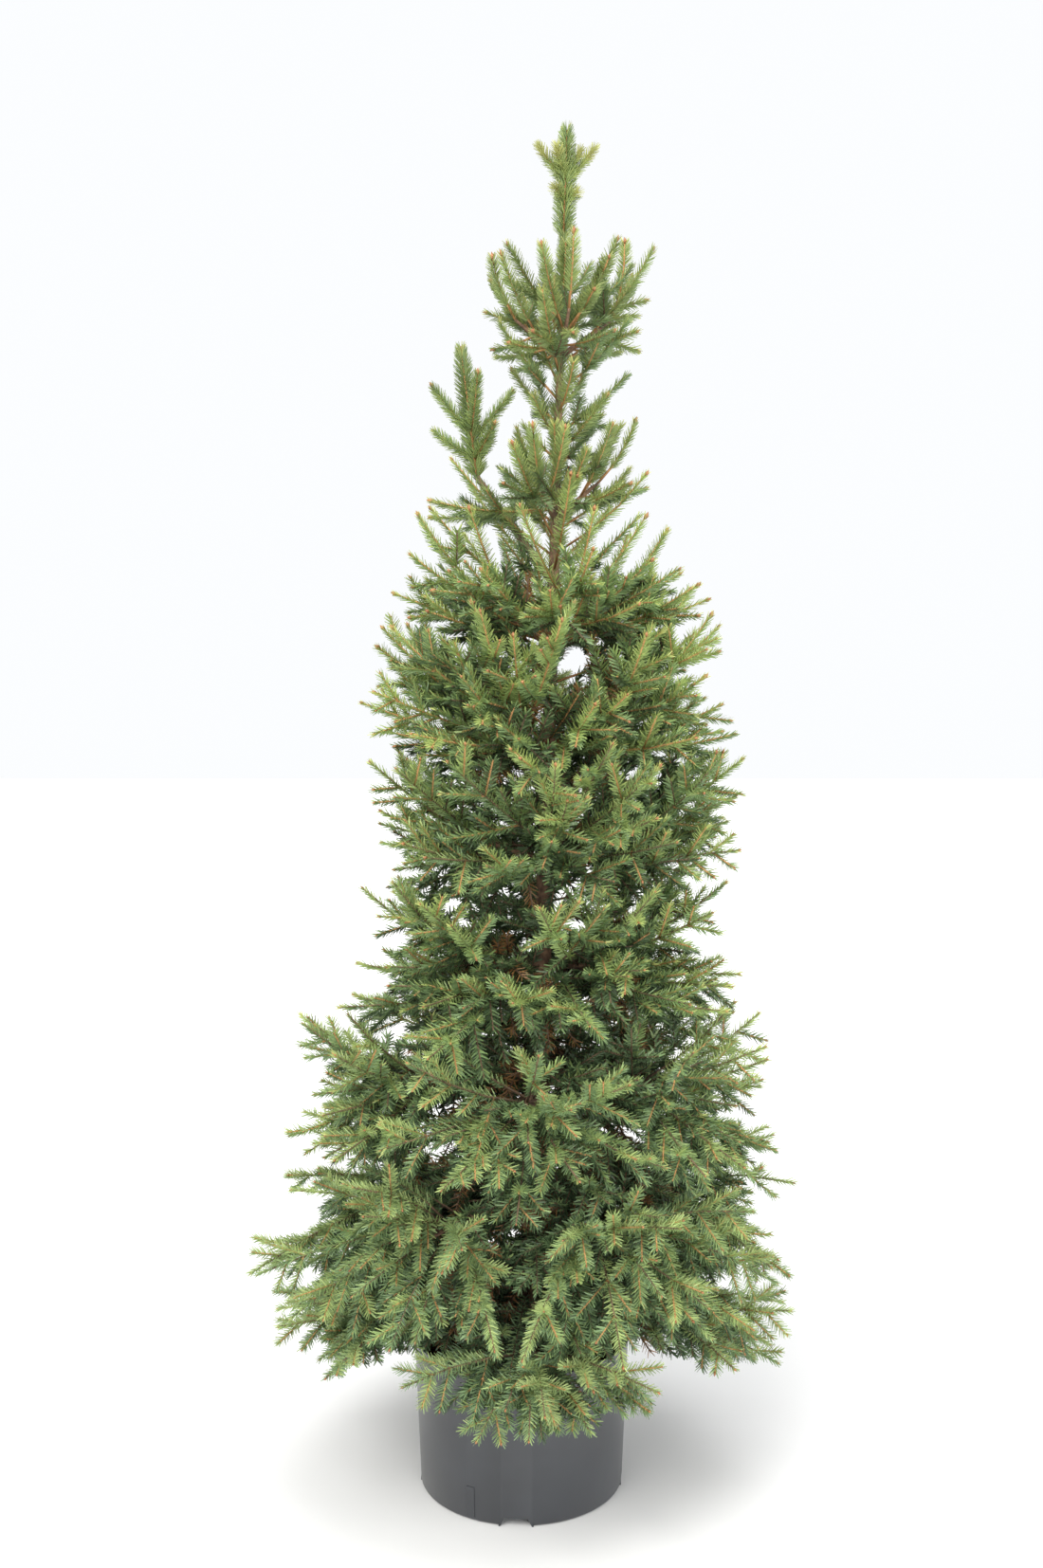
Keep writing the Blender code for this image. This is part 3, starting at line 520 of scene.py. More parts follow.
class Space:
    """The room of one mass: its tiers, its middle azimuth, and where its stem runs."""

    def __init__(self, tier, ceiling, index, number):
        self.tier = tier
        self.ceiling = ceiling
        self.number = number
        self.region = REGION_OF[tier.name]
        self.half_angle = math.pi / tier.masses
        self.middle = math.radians(tier.azimuth) + 2.0 * self.half_angle * index
        self.reach = crown_reach(tier.floor, self.middle)
        for _ in range(3):
            self.reach = crown_reach(self.line(self.reach), self.middle)
        self.bough = tier.name in BOUGH_TIERS
        self.start_out = trunk_radius(self.line(TRUNK_FOOT_RADIUS))
        if self.bough:
            self.start_out = BOUGH_END_RATIO * self.reach
        self.end_out = STEM_END_RATIO * self.reach

    def line(self, out):
        """The height half way between the tier's floor and the next, where its limb runs."""
        return 0.5 * (tier_floor(self.tier, out) + tier_floor(self.ceiling, out))

    def limb_point(self, out, lift=0.0):
        return crown_point(out, self.middle, self.line(out) + lift)

    def target_point(self, azimuth, level, shrink):
        """A point on the crown's outline, at a share of the space's height there."""
        out = crown_reach(self.tier.floor, azimuth) * shrink
        for _ in range(4):
            limits = [wavy_floor(tier, out, azimuth) for tier in (self.tier, self.ceiling)]
            height = between(limits, level)
            out = crown_reach(height, azimuth) * shrink
        return crown_point(out, azimuth, height)


def all_spaces():
    """Each tier's spaces, in the order of the solids."""
    spaces = []
    for tier, ceiling in zip(TIERS, TIERS[1:] + (TIERS_TOP,)):
        for i in range(tier.masses):
            spaces.append(Space(tier, ceiling, i, len(spaces)))
    return spaces


def sprays_of(space, rows, seed):
    """Root, tip, roll and bend of each twig of one mass, by the seeded rule."""
    stem = (space.start_out + STEM_BURY, space.end_out)
    for order, (level, turn, reach, tilt, root_share) in enumerate(rows):
        rng = random.Random(seed + 100 * space.number + order)
        jitter = math.radians(rng.uniform(-TURN_JITTER, TURN_JITTER))
        azimuth = space.middle + turn * space.half_angle + jitter
        height = level + rng.uniform(-LEVEL_JITTER, LEVEL_JITTER)
        tip = space.target_point(azimuth, height, reach * rng.uniform(*REACH_RANGE))
        along = root_share + rng.uniform(0.0, ROOT_JITTER)
        root = space.limb_point(between(stem, along))
        tilt += rng.uniform(-ROLL_JITTER, ROLL_JITTER)
        roll = math.radians(rng.choice((-1.0, 1.0)) * tilt)
        yield root, tip, roll, rng.uniform(*SPRAY_BENDS), rng


def clear_of_pot(point, margin):
    """Whether a point lies above the pot or beyond its rim by a margin."""
    out = math.hypot(point.x, point.y)
    return point.z > POT_HEIGHT + margin or out > POT_RIM_RADIUS + LIP_STAND + margin


# Shoots


def level_frame(forward):
    """Two directions square to a direction: one level, and one that points up or out."""
    side = Vector((0.0, 0.0, 1.0)).cross(forward)
    if side.length < 0.05:
        side = Vector((1.0, 0.0, 0.0)).cross(forward)
    side.normalize()
    return side, forward.cross(side)


class Shoot:
    """One shoot: a curve start + run * t + bend * t * t, and what grows on it."""

    def __init__(self, start, run, bend, region, **facts):
        self.start = start
        self.run = run
        self.bend = bend
        self.region = region
        for name, usual in USUAL_FACTS.items():
            setattr(self, name, facts.get(name, usual))

    def point(self, along):
        return self.start + self.run * along + self.bend * along * along

    def direction(self, along):
        return (self.run + self.bend * 2.0 * along).normalized()

    def length(self):
        return (self.run + self.bend).length


def outness(point):
    """How near a point is to the crown's outline: 0 at the trunk, 1 at the outline."""
    away = point - trunk_axis(point.z)
    out = math.hypot(away.x, away.y)
    return out / crown_reach(point.z, math.atan2(away.y, away.x))


def above_skirt(point):
    """Whether a point lies above the fringe where the crown ends over the pot."""
    away = point - trunk_axis(point.z)
    from_front = math.degrees(math.atan2(abs(away.x), -away.y))
    return point.z > from_rows(FRINGE_EDGE, from_front)


def within_crown(shoot):
    """Shortens a shoot whose tip would pass the crown's outline; False if little is left."""
    for _ in range(SHORTEN_TRIES):
        tip = shoot.point(1.0)
        inside = outness(tip) <= OUTLINE_MOST and tip.z < CREST_CEILING and above_skirt(tip)
        if inside and clear_of_pot(tip, SHOOT_GAP):
            return clear_of_pot(shoot.point(0.6), SHOOT_GAP)
        shoot.run *= SHORTEN_STEP
        shoot.bend *= SHORTEN_STEP
    return False


def side_shoot(parent, along, across, reach, height, rng, shoots, depth, age=0):
    """One side shoot of a parent, kept within the crown, with its own side shoots if long."""
    forward = parent.direction(along)
    spread = math.radians(rng.uniform(*FAN_SPREAD))
    heading = forward * math.cos(spread) + across * math.sin(spread)
    rise = from_rows(HABITS, height, 3)
    if rise < 0.0:
        rise *= HANG_BY_AGE[min(age, 2)]
    heading.z += rise * rng.uniform(*RISE_RANGE) + rng.uniform(-RISE_JITTER, RISE_JITTER)
    heading.normalize()
    lift = from_rows(HABITS, height, 4) * rng.uniform(*LIFT_RANGE)
    if reach < STRAIGHT_BELOW:
        lift = 0.0
    bend = Vector((0.0, 0.0, reach * lift))
    shoot = Shoot(parent.point(along), heading * reach, bend, parent.region)
    shoot.foot_radius = between((LOW_SHOOT_RADIUS, SHOOT_RADIUS), min(max(height - 0.3, 0.0), 1.0))
    if not within_crown(shoot):
        return
    tip = shoot.point(1.0)
    if parent.region == "upper" and tip.z > SHOULDER_HEIGHT and rng.random() > SHOULDER_CHANCE:
        return
    out = outness(tip)
    shoot.old = out < OLD_WITHIN
    shoot.dead = out < DEAD_WITHIN and rng.random() < DEAD_CHANCE and parent.region != "crest"
    if parent.region == "crest":
        shoot.density = CREST_DENSITY
    else:
        shoot.density = from_rows(INNER_DENSITY, out)
        shoot.wide = 1.0 if shoot.dead else from_rows(INNER_WIDTH, out)
    shoots.append(shoot)
    if depth < 2 and reach > SECOND_ORDER_LEAST:
        inner = random.Random(rng.random())
        size = SECOND_ORDER_SIZE
        side_shoots(shoot, across, height, inner, shoots, size, SECOND_ORDER_FIRST, depth + 1)


def side_shoots(parent, plane, height, rng, shoots, size, first, depth):
    """A fan of side shoots at each year's node of a parent, and small ones between."""
    longest = from_rows(HABITS, height, 1) * size
    year = from_rows(HABITS, height, 2) * (0.5 + 0.5 * size) / parent.length()
    along = 1.0 - year * rng.uniform(*END_GROWTH)
    crest = parent.region == "crest"
    small_chance = CREST_SMALL_CHANCE if crest else SMALL_SHOOT_CHANCE
    third_chance = CREST_THIRD_CHANCE if crest else THIRD_SHOOT_CHANCE
    age = 0
    while along > first:
        forward = parent.direction(along)
        across = (plane - forward * plane.dot(forward)).normalized()
        grown = longest * (1.0 + OLDER_NODE_GROWTH * age if age else END_FAN_SIZE)
        for sign in (-1.0, 1.0):
            reach = grown * rng.uniform(*FAN_REACHES)
            side_shoot(parent, along, across * sign, reach, height, rng, shoots, depth, age)
            small = longest * rng.uniform(*SMALL_SHOOT_REACHES)
            place = along + year * rng.uniform(*SMALL_SHOOT_PLACES)
            if place < SMALL_SHOOT_LAST and rng.random() < small_chance:
                side_shoot(parent, place, across * sign, small, height, rng, shoots, 2)
        if rng.random() < third_chance:
            third = forward.cross(across) * rng.choice((-1.0, 1.0))
            reach = THIRD_SHOOT_REACH * longest * rng.uniform(*FAN_REACHES)
            side_shoot(parent, along, third, reach, height, rng, shoots, 2, age)
        along -= year * rng.uniform(*YEAR_RANGE)
        age += 1


def twig(root, tip, roll, bend, region, rng, shoots, size):
    """A twig from its root to the outline, with its side shoots."""
    axis = tip - root
    while not above_skirt(root + axis):
        axis *= TWIG_SHORTEN_STEP
        if axis.length < TWIG_LEAST:
            return
    side, up = level_frame(axis.normalized())
    across = side * math.cos(roll) + up * math.sin(roll)
    if region in DROOPING:
        bend *= -DROOP
    sag = up * (bend * axis.length)
    old = region not in ("upper", "crest")
    shoot = Shoot(root, axis - sag, sag, region, foot_radius=TWIG_RADIUS, old=old, bare=TWIG_BARE)
    shoot.density = TWIG_DENSITY
    if region == "crest":
        shoot.density = CREST_TWIG_DENSITY
        size *= CREST_SIZE
    shoots.append(shoot)
    height = 0.5 * (root.z + tip.z)
    side_shoots(shoot, across, height, rng, shoots, size, TWIG_FIRST_NODE, 1)


def finer_rows(space):
    """Rows like those of the sprays, spread evenly over the space by a fixed rule."""
    rows = []
    area = space.half_angle * space.reach**2
    for k in range(round(FINER_LEAST + FINER_PER_AREA * area)):
        steps = [step * (k + 1) + EVEN_SHIFT * space.number for step in EVEN_STEPS]
        shares = [step - math.floor(step) for step in steps]
        level = between(FINER_LEVELS, shares[0])
        turn = between(FINER_TURNS, shares[1])
        reach = between(FINER_REACHES, shares[3])
        root = FINER_ROOTS * shares[2] * (1.0 - abs(turn))
        if space.tier.name != "upper" or level <= 0.5:
            rows.append((level, turn, reach, between(FINER_TILTS, shares[2]), root))
    return rows


def grow_masses(spaces):
    """All shoots of the tiers' masses."""
    shoots = []
    for space in spaces:
        plan = [(TIER_SPRAYS, SEED, 1.0), (finer_rows(space), SEED + 50, FINER_SIZE)]
        if space.tier.name in CREST_TIERS:
            plan = [(CREST_SPRAYS, SEED, 1.0)]
        for rows, seed, size in plan:
            for root, tip, roll, bend, rng in sprays_of(space, rows, seed):
                twig(root, tip, roll, bend, space.region, rng, shoots, size)
    return shoots


def bough_lift(share):
    """How far a bough arches above its tier's middle line; its last stretch is straight."""
    return BOUGH_ARCH * math.sin(math.pi * min(share / BOUGH_STRAIGHT_SHARE, 1.0))


def grow_bough_twigs(spaces, shoots):
    """Twigs along both sides of each bough, inside the masses."""
    rng = random.Random(SEED + 13)
    boughs = [space for space in spaces if space.bough]
    for space in boughs:
        for share in BOUGH_TWIG_SHARES:
            for sign in (-1.0, 1.0):
                along = share + rng.uniform(-0.08, 0.08)
                root = space.limb_point(space.start_out * along, bough_lift(along))
                reach = between(BOUGH_TWIG_REACHES, rng.random())
                azimuth = space.middle + sign * rng.uniform(*BOUGH_TWIG_TURNS)
                slope = space.tier.slope + rng.uniform(-0.5, 0.7)
                way = Vector((math.cos(azimuth), math.sin(azimuth), slope)).normalized()
                tip = root + way * reach
                if clear_of_pot(tip, BOUGH_TWIG_GAP):
                    roll = math.radians(rng.uniform(-60.0, 60.0))
                    bend = rng.uniform(*SPRAY_BENDS)
                    twig(root, tip, roll, bend, space.region, rng, shoots, BOUGH_TWIG_SIZE)


def region_at(height, out):
    """The region of the highest tier whose floor lies below a point of the crown."""
    below = [tier for tier in TIERS if tier_floor(tier, out) < height]
    return REGION_OF[below[-1].name if below else TIERS[0].name]


def grow_trunk_twigs(shoots):
    """Small twigs that leave the trunk between the tiers and fill the crown's inside."""
    rng = random.Random(SEED + 11)
    slopes = [(tier.floor, tier.slope) for tier in TIERS]
    for i in range(TRUNK_TWIG_COUNT):
        share = ((i + rng.uniform(0.0, 0.9)) / TRUNK_TWIG_COUNT) ** TRUNK_TWIG_CROWDING
        height = between(TRUNK_TWIG_HEIGHTS, share)
        azimuth = i * GOLDEN_ANGLE
        slope = from_rows(slopes, height)
        slope += rng.uniform(-0.15, 0.25)
        reaches = CREST_TWIG_REACHES if height > CREST_HEIGHT else TRUNK_TWIG_REACHES
        out = between(reaches, rng.random()) * crown_reach(height + 0.1 * slope, azimuth)
        tip = crown_point(out, azimuth, height + slope * out)
        root = crown_point(0.5 * trunk_radius(height), azimuth, height)
        if clear_of_pot(tip, TRUNK_TWIG_GAP):
            roll = math.radians(rng.uniform(-50.0, 50.0))
            region = region_at(height, 0.5 * out)
            bend = rng.uniform(*SPRAY_BENDS)
            twig(root, tip, roll, bend, region, rng, shoots, TRUNK_TWIG_SIZE)


def straight_shoot(shoots, foot, tip, **facts):
    """A straight shoot of the crest, added to the others."""
    shoot = Shoot(foot, tip - foot, Vector(), "crest", **facts)
    shoots.append(shoot)
    return shoot


def grow_whorls(rows, foot, tip, shoots, rng, **facts):
    """Rings of short shoots round an upright one."""
    for row in rows:
        rise = math.radians(row.rise)
        for i in range(row.count):
            azimuth = math.radians(row.azimuth) + 2.0 * math.pi * i / row.count
            height = row.height + WHORL_STEP * i
            root = foot.lerp(tip, (height - foot.z) / (tip.z - foot.z))
            out = Vector((math.cos(azimuth), math.sin(azimuth), math.tan(rise)))
            run = out * (row.reach * rng.uniform(*WHORL_REACHES))
            bend = Vector((0.0, 0.0, WHORL_BEND * run.length))
            shoots.append(Shoot(root, run, bend, "crest", **WHORL_SHOOT, **facts))


def grow_leaders(shoots):
    """The leader, the second leader, and the needles on the young wood below them."""
    rng = random.Random(SEED + 7)
    foot = trunk_axis(TRUNK_TIP_HEIGHT)
    top = trunk_axis(LEADER_HEIGHT - LEADER_END)
    straight_shoot(shoots, foot, top, foot_radius=TRUNK_TIP_RADIUS, **UPRIGHT_SHOOT)
    pale = {"pale": LEADER_WHORL_PALE, "shade": "fresh"}
    grow_whorls(LEADER_WHORLS, foot, top, shoots, rng, **pale)
    radius = SECOND_TIP_RADIUS * 0.8
    straight_shoot(shoots, SECOND_TURN, SECOND_TIP, foot_radius=radius, **UPRIGHT_SHOOT)
    grow_whorls(SECOND_WHORLS, SECOND_TURN, SECOND_TIP, shoots, rng, shade="green")
    span = TRUNK_TIP_HEIGHT - YOUNG_WOOD_FOOT
    for i in range(YOUNG_WOOD_PIECES):
        ends = [trunk_axis(YOUNG_WOOD_FOOT + span * k / YOUNG_WOOD_PIECES) for k in (i, i + 1)]
        shoot = straight_shoot(shoots, *ends, **YOUNG_WOOD)
        shoot.foot_radius = trunk_radius(ends[0].z)
        shoot.tip_radius = trunk_radius(ends[1].z)
        shoot.density = 1.0 + 0.30 * i
        shoot.shade = "green" if i % 2 else "blue"
    start = trunk_axis(SECOND_FOOT_HEIGHT)
    limb = straight_shoot(shoots, start, SECOND_TURN, **SECOND_LIMB)
    side_shoots(limb, SECOND_PLANE, SECOND_TURN.z, rng, shoots, 0.8, 0.35, 2)


def choose_shade(shoot, rng):
    """Which green a shoot takes: darker and bluer inside, lighter outside and upward.

    The deeper greens are partly painted shade inside the crown, and the lighter ones are partly
    painted light on shoots that head upwards, besides the real change from old to new growth.
    """
    if shoot.dead:
        return "dead"
    if shoot.shade:
        return shoot.shade
    tip = shoot.point(1.0)
    value = LIGHTER_OUTWARD * (outness(tip) - SHADE_MIDDLE)
    value = value + PAINTED_LIGHT_UPWARD * shoot.direction(0.7).z + rng.gauss(0.0, SHADE_DRIFT)
    value += from_rows(PAINTED_LIGHT_BY_HEIGHT, tip.z)
    if value < SHADE_LIMITS[0] and shoot.region != "crest":
        return "shade"
    if value < SHADE_LIMITS[1]:
        return "blue"
    return "green" if value < SHADE_LIMITS[2] else "fresh"


# Mesh building


def linked(name, mesh, material=None, smooth=False):
    """An object in the scene that shows a mesh."""
    if smooth:
        mesh.shade_smooth()
    if material:
        mesh.materials.append(material)
    item = bpy.data.objects.new(name, mesh)
    bpy.context.scene.collection.objects.link(item)
    return item


def object_from(shape, name, material=None):
    """An object from a bmesh, smooth where it has a material."""
    mesh = bpy.data.meshes.new(name)
    shape.to_mesh(mesh)
    shape.free()
    return linked(name, mesh, material, material is not None)


def mesh_object(name, points, faces, material, smooth=False):
    """An object from an array of points and one of triangles."""
    mesh = bpy.data.meshes.new(name)
    mesh.vertices.add(len(points))
    mesh.vertices.foreach_set("co", points.astype(np.float32).ravel())
    mesh.loops.add(faces.size)
    mesh.loops.foreach_set("vertex_index", faces.astype(np.int32).ravel())
    mesh.polygons.add(len(faces))
    mesh.polygons.foreach_set("loop_start", np.arange(0, faces.size, 3, dtype=np.int32))
    mesh.update(calc_edges=True)
    mesh.validate()
    return linked(name, mesh, material, smooth)


def per_row(values):
    return values[:, None]


def unit(vectors):
    return vectors / np.maximum(np.linalg.norm(vectors, axis=-1, keepdims=True), 1e-9)


def blade_faces(count):
    """Two triangles for each of a number of four-cornered blades."""
    first = per_row(4 * np.arange(count))
    return np.concatenate([first + (0, 1, 2), first + (0, 2, 3)], axis=0)


def around(side, up, k, sides):
    """The direction after k of a number of equal turns, for one limb or an array of them."""
    turn = 2.0 * math.pi * k / sides
    return side * math.cos(turn) + up * math.sin(turn)


def square_frames(forward):
    """Side and up directions square to each of an array of directions."""
    up = np.zeros_like(forward)
    up[:, 2] = 1.0
    steep = np.abs(forward[:, 2]) > 0.96
    up[steep] = (0.0, -1.0, 0.0)
    side = unit(np.cross(forward, up))
    return side, np.cross(side, forward)


class ShootTable:
    """The shoots' numbers as arrays."""

    def __init__(self, shoots):
        for name in ("start", "run", "bend"):
            setattr(self, name, np.array([getattr(shoot, name)[:] for shoot in shoots]))
        for name in USUAL_NUMBERS:
            setattr(self, name, np.array([getattr(shoot, name) for shoot in shoots]))
        self.length = np.linalg.norm(self.run + self.bend, axis=1)

    def point(self, rows, along):
        along = per_row(along)
        return self.start[rows] + self.run[rows] * along + self.bend[rows] * along * along

    def direction(self, rows, along):
        return unit(self.run[rows] + self.bend[rows] * 2.0 * per_row(along))

    def radius(self, rows, along):
        return between((self.foot_radius[rows], self.tip_radius[rows]), along)


def needle_arrays(table, chance):
    """The four corners of every needle, the shoot it grows on and its place along it."""
    counts = (table.length * (1.0 - table.bare) * table.density * NEEDLES_PER_METRE).astype(int)
    counts = np.maximum(counts, 2)
    rows = np.repeat(np.arange(len(counts)), counts)
    order = np.arange(counts.sum()) - np.repeat(np.cumsum(counts) - counts, counts)
    share = (order + chance.uniform(0.1, 0.9, len(order))) / counts[rows]
    along = table.bare[rows] + (1.0 - table.bare[rows]) * share
    forward = table.direction(rows, along)
    place = table.point(rows, along)
    height = np.clip((place[:, 2] - NEEDLE_LOW_HEIGHT) / NEEDLE_HEIGHT_SPAN, 0.0, 1.0)
    side, up = square_frames(forward)
    phase = chance.uniform(0.0, 2.0 * math.pi, len(counts))
    turn = (order * GOLDEN_ANGLE + phase[rows]) % (2.0 * math.pi) - math.pi
    turn *= 1.0 - NEEDLE_UPTURN * table.parted[rows] * (np.abs(turn) / math.pi) ** 2
    parting = between(NEEDLE_PARTING, height) * table.parted[rows]
    turn = np.sign(turn) * (parting + np.abs(turn) * (1.0 - parting / math.pi))
    away = up * per_row(np.cos(turn)) + side * per_row(np.sin(turn))
    sideways = NEEDLE_SIDE_SPREAD * np.abs(np.sin(turn))
    sideways = sideways + chance.normal(0.0, NEEDLE_SPREAD_DRIFT, len(turn))
    spread = np.radians(between(NEEDLE_SPREAD, height) + sideways)
    spread *= table.lean[rows] * (1.0 - NEEDLE_END_CLOSING * share**6)
    heading = forward * per_row(np.cos(spread)) + away * per_row(np.sin(spread))
    root = place + away * per_row(0.6 * table.radius(rows, along))
    length = between(NEEDLE_LENGTH, height)
    length *= chance.uniform(*NEEDLE_LENGTHS, len(length)) * (1.0 - NEEDLE_END_SHORTENING * share**8)
    length *= table.needle[rows]
    across = unit(np.cross(heading, away))
    lower = np.cross(across, heading)
    roll = 0.25 * math.pi + chance.uniform(-NEEDLE_ROLL_DRIFT, NEEDLE_ROLL_DRIFT, len(length))
    roll *= np.where(chance.uniform(0.0, 1.0, len(length)) < 0.5, -1.0, 1.0)
    half = 0.5 * NEEDLE_WIDTH * chance.uniform(*NEEDLE_WIDTHS, len(length)) * table.wide[rows]
    tip = root + heading * per_row(length) + up * per_row(NEEDLE_RISE * length)
    low_edge = (across * per_row(np.cos(roll)) + lower * per_row(np.sin(roll))) * per_row(half)
    high_edge = low_edge * NEEDLE_TIP_SHARE
    corners = [root - low_edge, root + low_edge, tip + high_edge, tip - high_edge]
    # Painted shade: needles on a parted shoot's lower side are marked for a deeper shade
    shaded_under = (np.abs(turn) > SHADED_UNDER_TURN) & (table.parted[rows] > 0.5)
    return np.stack(corners, axis=1), rows, share, shaded_under


def vary_shades(shade, in_crest, shaded_under, past_pale, high, chance):
    """Some needles a step deeper or lighter than their shoot, those on its lower side a step
    deeper as painted shade, and pale ones at its end.
    """
    count = len(shade)
    fresh = shade == SHADE_NUMBER["fresh"]
    green = (shade == SHADE_NUMBER["green"]) & (chance.uniform(0, 1, count) < 0.5)
    ending = past_pale > TIP_JITTER * chance.uniform(-1.0, 1.0, count)
    draw = chance.uniform(0, 1, count)
    living = shade < SHADE_NUMBER["dead"]
    deepest = np.where(in_crest, SHADE_NUMBER["blue"], SHADE_NUMBER["shade"])
    # Painted shade on the lower side, besides a random share a step deeper
    deeper = (shaded_under | (draw < DEEPER_SHARE)) & living & (shade > deepest)
    lighter = ~shaded_under & (draw > 1.0 - LIGHTER_SHARE) & (shade < SHADE_NUMBER["fresh"])
    shade = np.where(deeper, shade - 1, np.where(lighter, shade + 1, shade))
    return np.where(ending & high & (fresh | green), SHADE_NUMBER["tip"], shade)


def build_needles(shoots, shades, table, materials):
    """Needles joined by region and shade."""
    chance = np.random.default_rng(SEED)
    corners, rows, share, shaded_under = needle_arrays(table, chance)
    regions = np.array([shoot.region for shoot in shoots])[rows]
    shade = np.array([SHADE_NUMBER[name] for name in shades])[rows]
    high = corners[:, 0, 2] > TIP_LOWEST
    past_pale = share - table.pale[rows]
    shade = vary_shades(shade, regions == "crest", shaded_under, past_pale, high, chance)
    for region in REGIONS:
        for number, name in enumerate(SHADES):
            chosen = (regions == region) & (shade == number)
            if chosen.any():
                points = corners[chosen].reshape(-1, 3)
                kind = f"needles_{region}_{name}"
                faces = blade_faces(len(points) // 4)
                yield mesh_object(kind, points, faces, materials[kind]), region


def twig_arrays(table, chosen, rings):
    """Corners and triangles of some shoots' wood, three-sided, with a number of rings."""
    sides = TWIG_SIDES
    rows = np.repeat(np.array(chosen), rings)
    along = np.tile(np.linspace(0.0, 1.0, rings), len(chosen))
    middle = table.point(rows, along)
    side, up = square_frames(table.direction(rows, along))
    radius = per_row(table.radius(rows, along))
    corners = [middle + around(side, up, k, sides) * radius for k in range(sides)]
    points = np.stack(corners, axis=1).reshape(-1, 3)
    faces = []
    base = per_row(np.arange(len(chosen)) * rings * sides)
    for ring in range(rings - 1):
        for k in range(sides):
            a = ring * sides + k
            b = ring * sides + (k + 1) % sides
            faces.append(base + (a, b, b + sides))
            faces.append(base + (a, b + sides, a + sides))
    faces.append(base + (0, 2, 1))
    last = (rings - 1) * sides
    faces.append(base + (last, last + 1, last + 2))
    return points, np.concatenate(faces)


def build_twigs(shoots, shades, table, materials):
    """Three-sided twigs, joined by region and bark; the dark old bark also paints shade on the
    twigs of shaded shoots, and the bent ones have more rings.
    """
    kinds = []
    for shoot, shade in zip(shoots, shades):
        # Painted shade: twigs of shoots dealt the shade colour take the dark old bark
        age = "twigs_old_and_shaded" if shoot.old or shade in ("shade", "dead") else "twigs_young"
        rings = BENT_RINGS if shoot.bend.length > 0.0 else STRAIGHT_RINGS
        kinds.append((shoot.region, age, rings))
    for region in REGIONS:
        for age in ("twigs_old_and_shaded", "twigs_young"):
            points = np.zeros((0, 3))
            faces = np.zeros((0, 3), dtype=int)
            for rings in (BENT_RINGS, STRAIGHT_RINGS):
                chosen = [i for i, kind in enumerate(kinds) if kind == (region, age, rings)]
                if chosen:
                    more_points, more_faces = twig_arrays(table, chosen, rings)
                    faces = np.concatenate([faces, more_faces + len(points)])
                    points = np.concatenate([points, more_points])
            if len(points):
                name = f"{age}_{region}"
                yield mesh_object(name, points, faces, materials[age], True), region


def build_buds(shoots, table, material):
    """A small pointed bud of scales at the tip of each outer shoot."""
    ends = [shoot.bud and outness(shoot.point(1.0)) > BUD_OUTNESS for shoot in shoots]
    rows = np.nonzero(ends)[0]
    ones = np.ones(len(rows))
    tip = table.point(rows, ones)
    forward = table.direction(rows, ones)
    side, up = square_frames(forward)
    chance = np.random.default_rng(SEED + 1)
    size = per_row(chance.uniform(*BUD_SIZES, len(rows)))
    size *= 1.0 + BUD_GROWTH * np.clip((tip[:, 2:] - 0.9) / 0.6, 0.0, 1.0)
    sides = TWIG_SIDES
    rings = []
    for place, radius in BUD_RINGS:
        for k in range(sides):
            rings.append(tip + (forward * place + around(side, up, k, sides) * radius) * size)
    rings.append(tip + forward * BUD_POINT * size)
    points = np.stack(rings, axis=1).reshape(-1, 3)
    base = per_row(np.arange(len(rows)) * (2 * sides + 1))
    faces = [base + (0, 2, 1)]
    for k in range(sides):
        n = (k + 1) % sides
        faces.append(base + (k, n, sides + n))
        faces.append(base + (k, sides + n, sides + k))
        faces.append(base + (sides + k, sides + n, 2 * sides))
    return mesh_object("buds", points, np.concatenate(faces), material, True)


# Trunk, boughs and stems


def bark_tube(points, radii, sides, bark, seed):
    """Rings of a limb with the bark's relief, as points and quads."""
    relief, scale = bark
    rings = len(points)
    verts = []
    side, _ = level_frame((points[1] - points[0]).normalized())
    for i, (middle, radius) in enumerate(zip(points, radii)):
        ahead = points[min(i + 1, rings - 1)] - points[max(i - 1, 0)]
        forward = ahead.normalized()
        side = (side - forward * side.dot(forward)).normalized()
        up = forward.cross(side)
        for k in range(sides):
            away = around(side, up, k, sides)
            spot = middle + away * radius
            key = Vector((spot.x * scale, spot.y * scale, spot.z * scale * 0.45))
            key += Vector((seed, 0.0, 0.0))
            cell = noise.voronoi(key)[0]
            flake = min(cell[1] - cell[0], 0.35) / 0.35
            rough = noise.noise(key * 2.3)
            verts.append(spot + away * relief * (flake - 0.6 + 0.5 * rough))
    faces = []
    for i in range(rings - 1):
        low, high = i * sides, (i + 1) * sides
        for k in range(sides):
            n = (k + 1) % sides
            faces.append((low + k, low + n, high + n, high + k))
    return verts, faces


def close_tube(shape, verts, faces, sides):
    """Adds a tube to a shape, both ends closed with a fan of triangles."""
    count = len(verts)
    first = sum((Vector(vert) for vert in verts[:sides]), Vector()) / sides
    last = sum((Vector(vert) for vert in verts[count - sides :]), Vector()) / sides
    for k in range(sides):
        n = (k + 1) % sides
        faces.append((count, n, k))
        faces.append((count + 1, count - sides + k, count - sides + n))
    made = [shape.verts.new(vert) for vert in verts + [first, last]]
    for face in faces:
        shape.faces.new([made[i] for i in face])


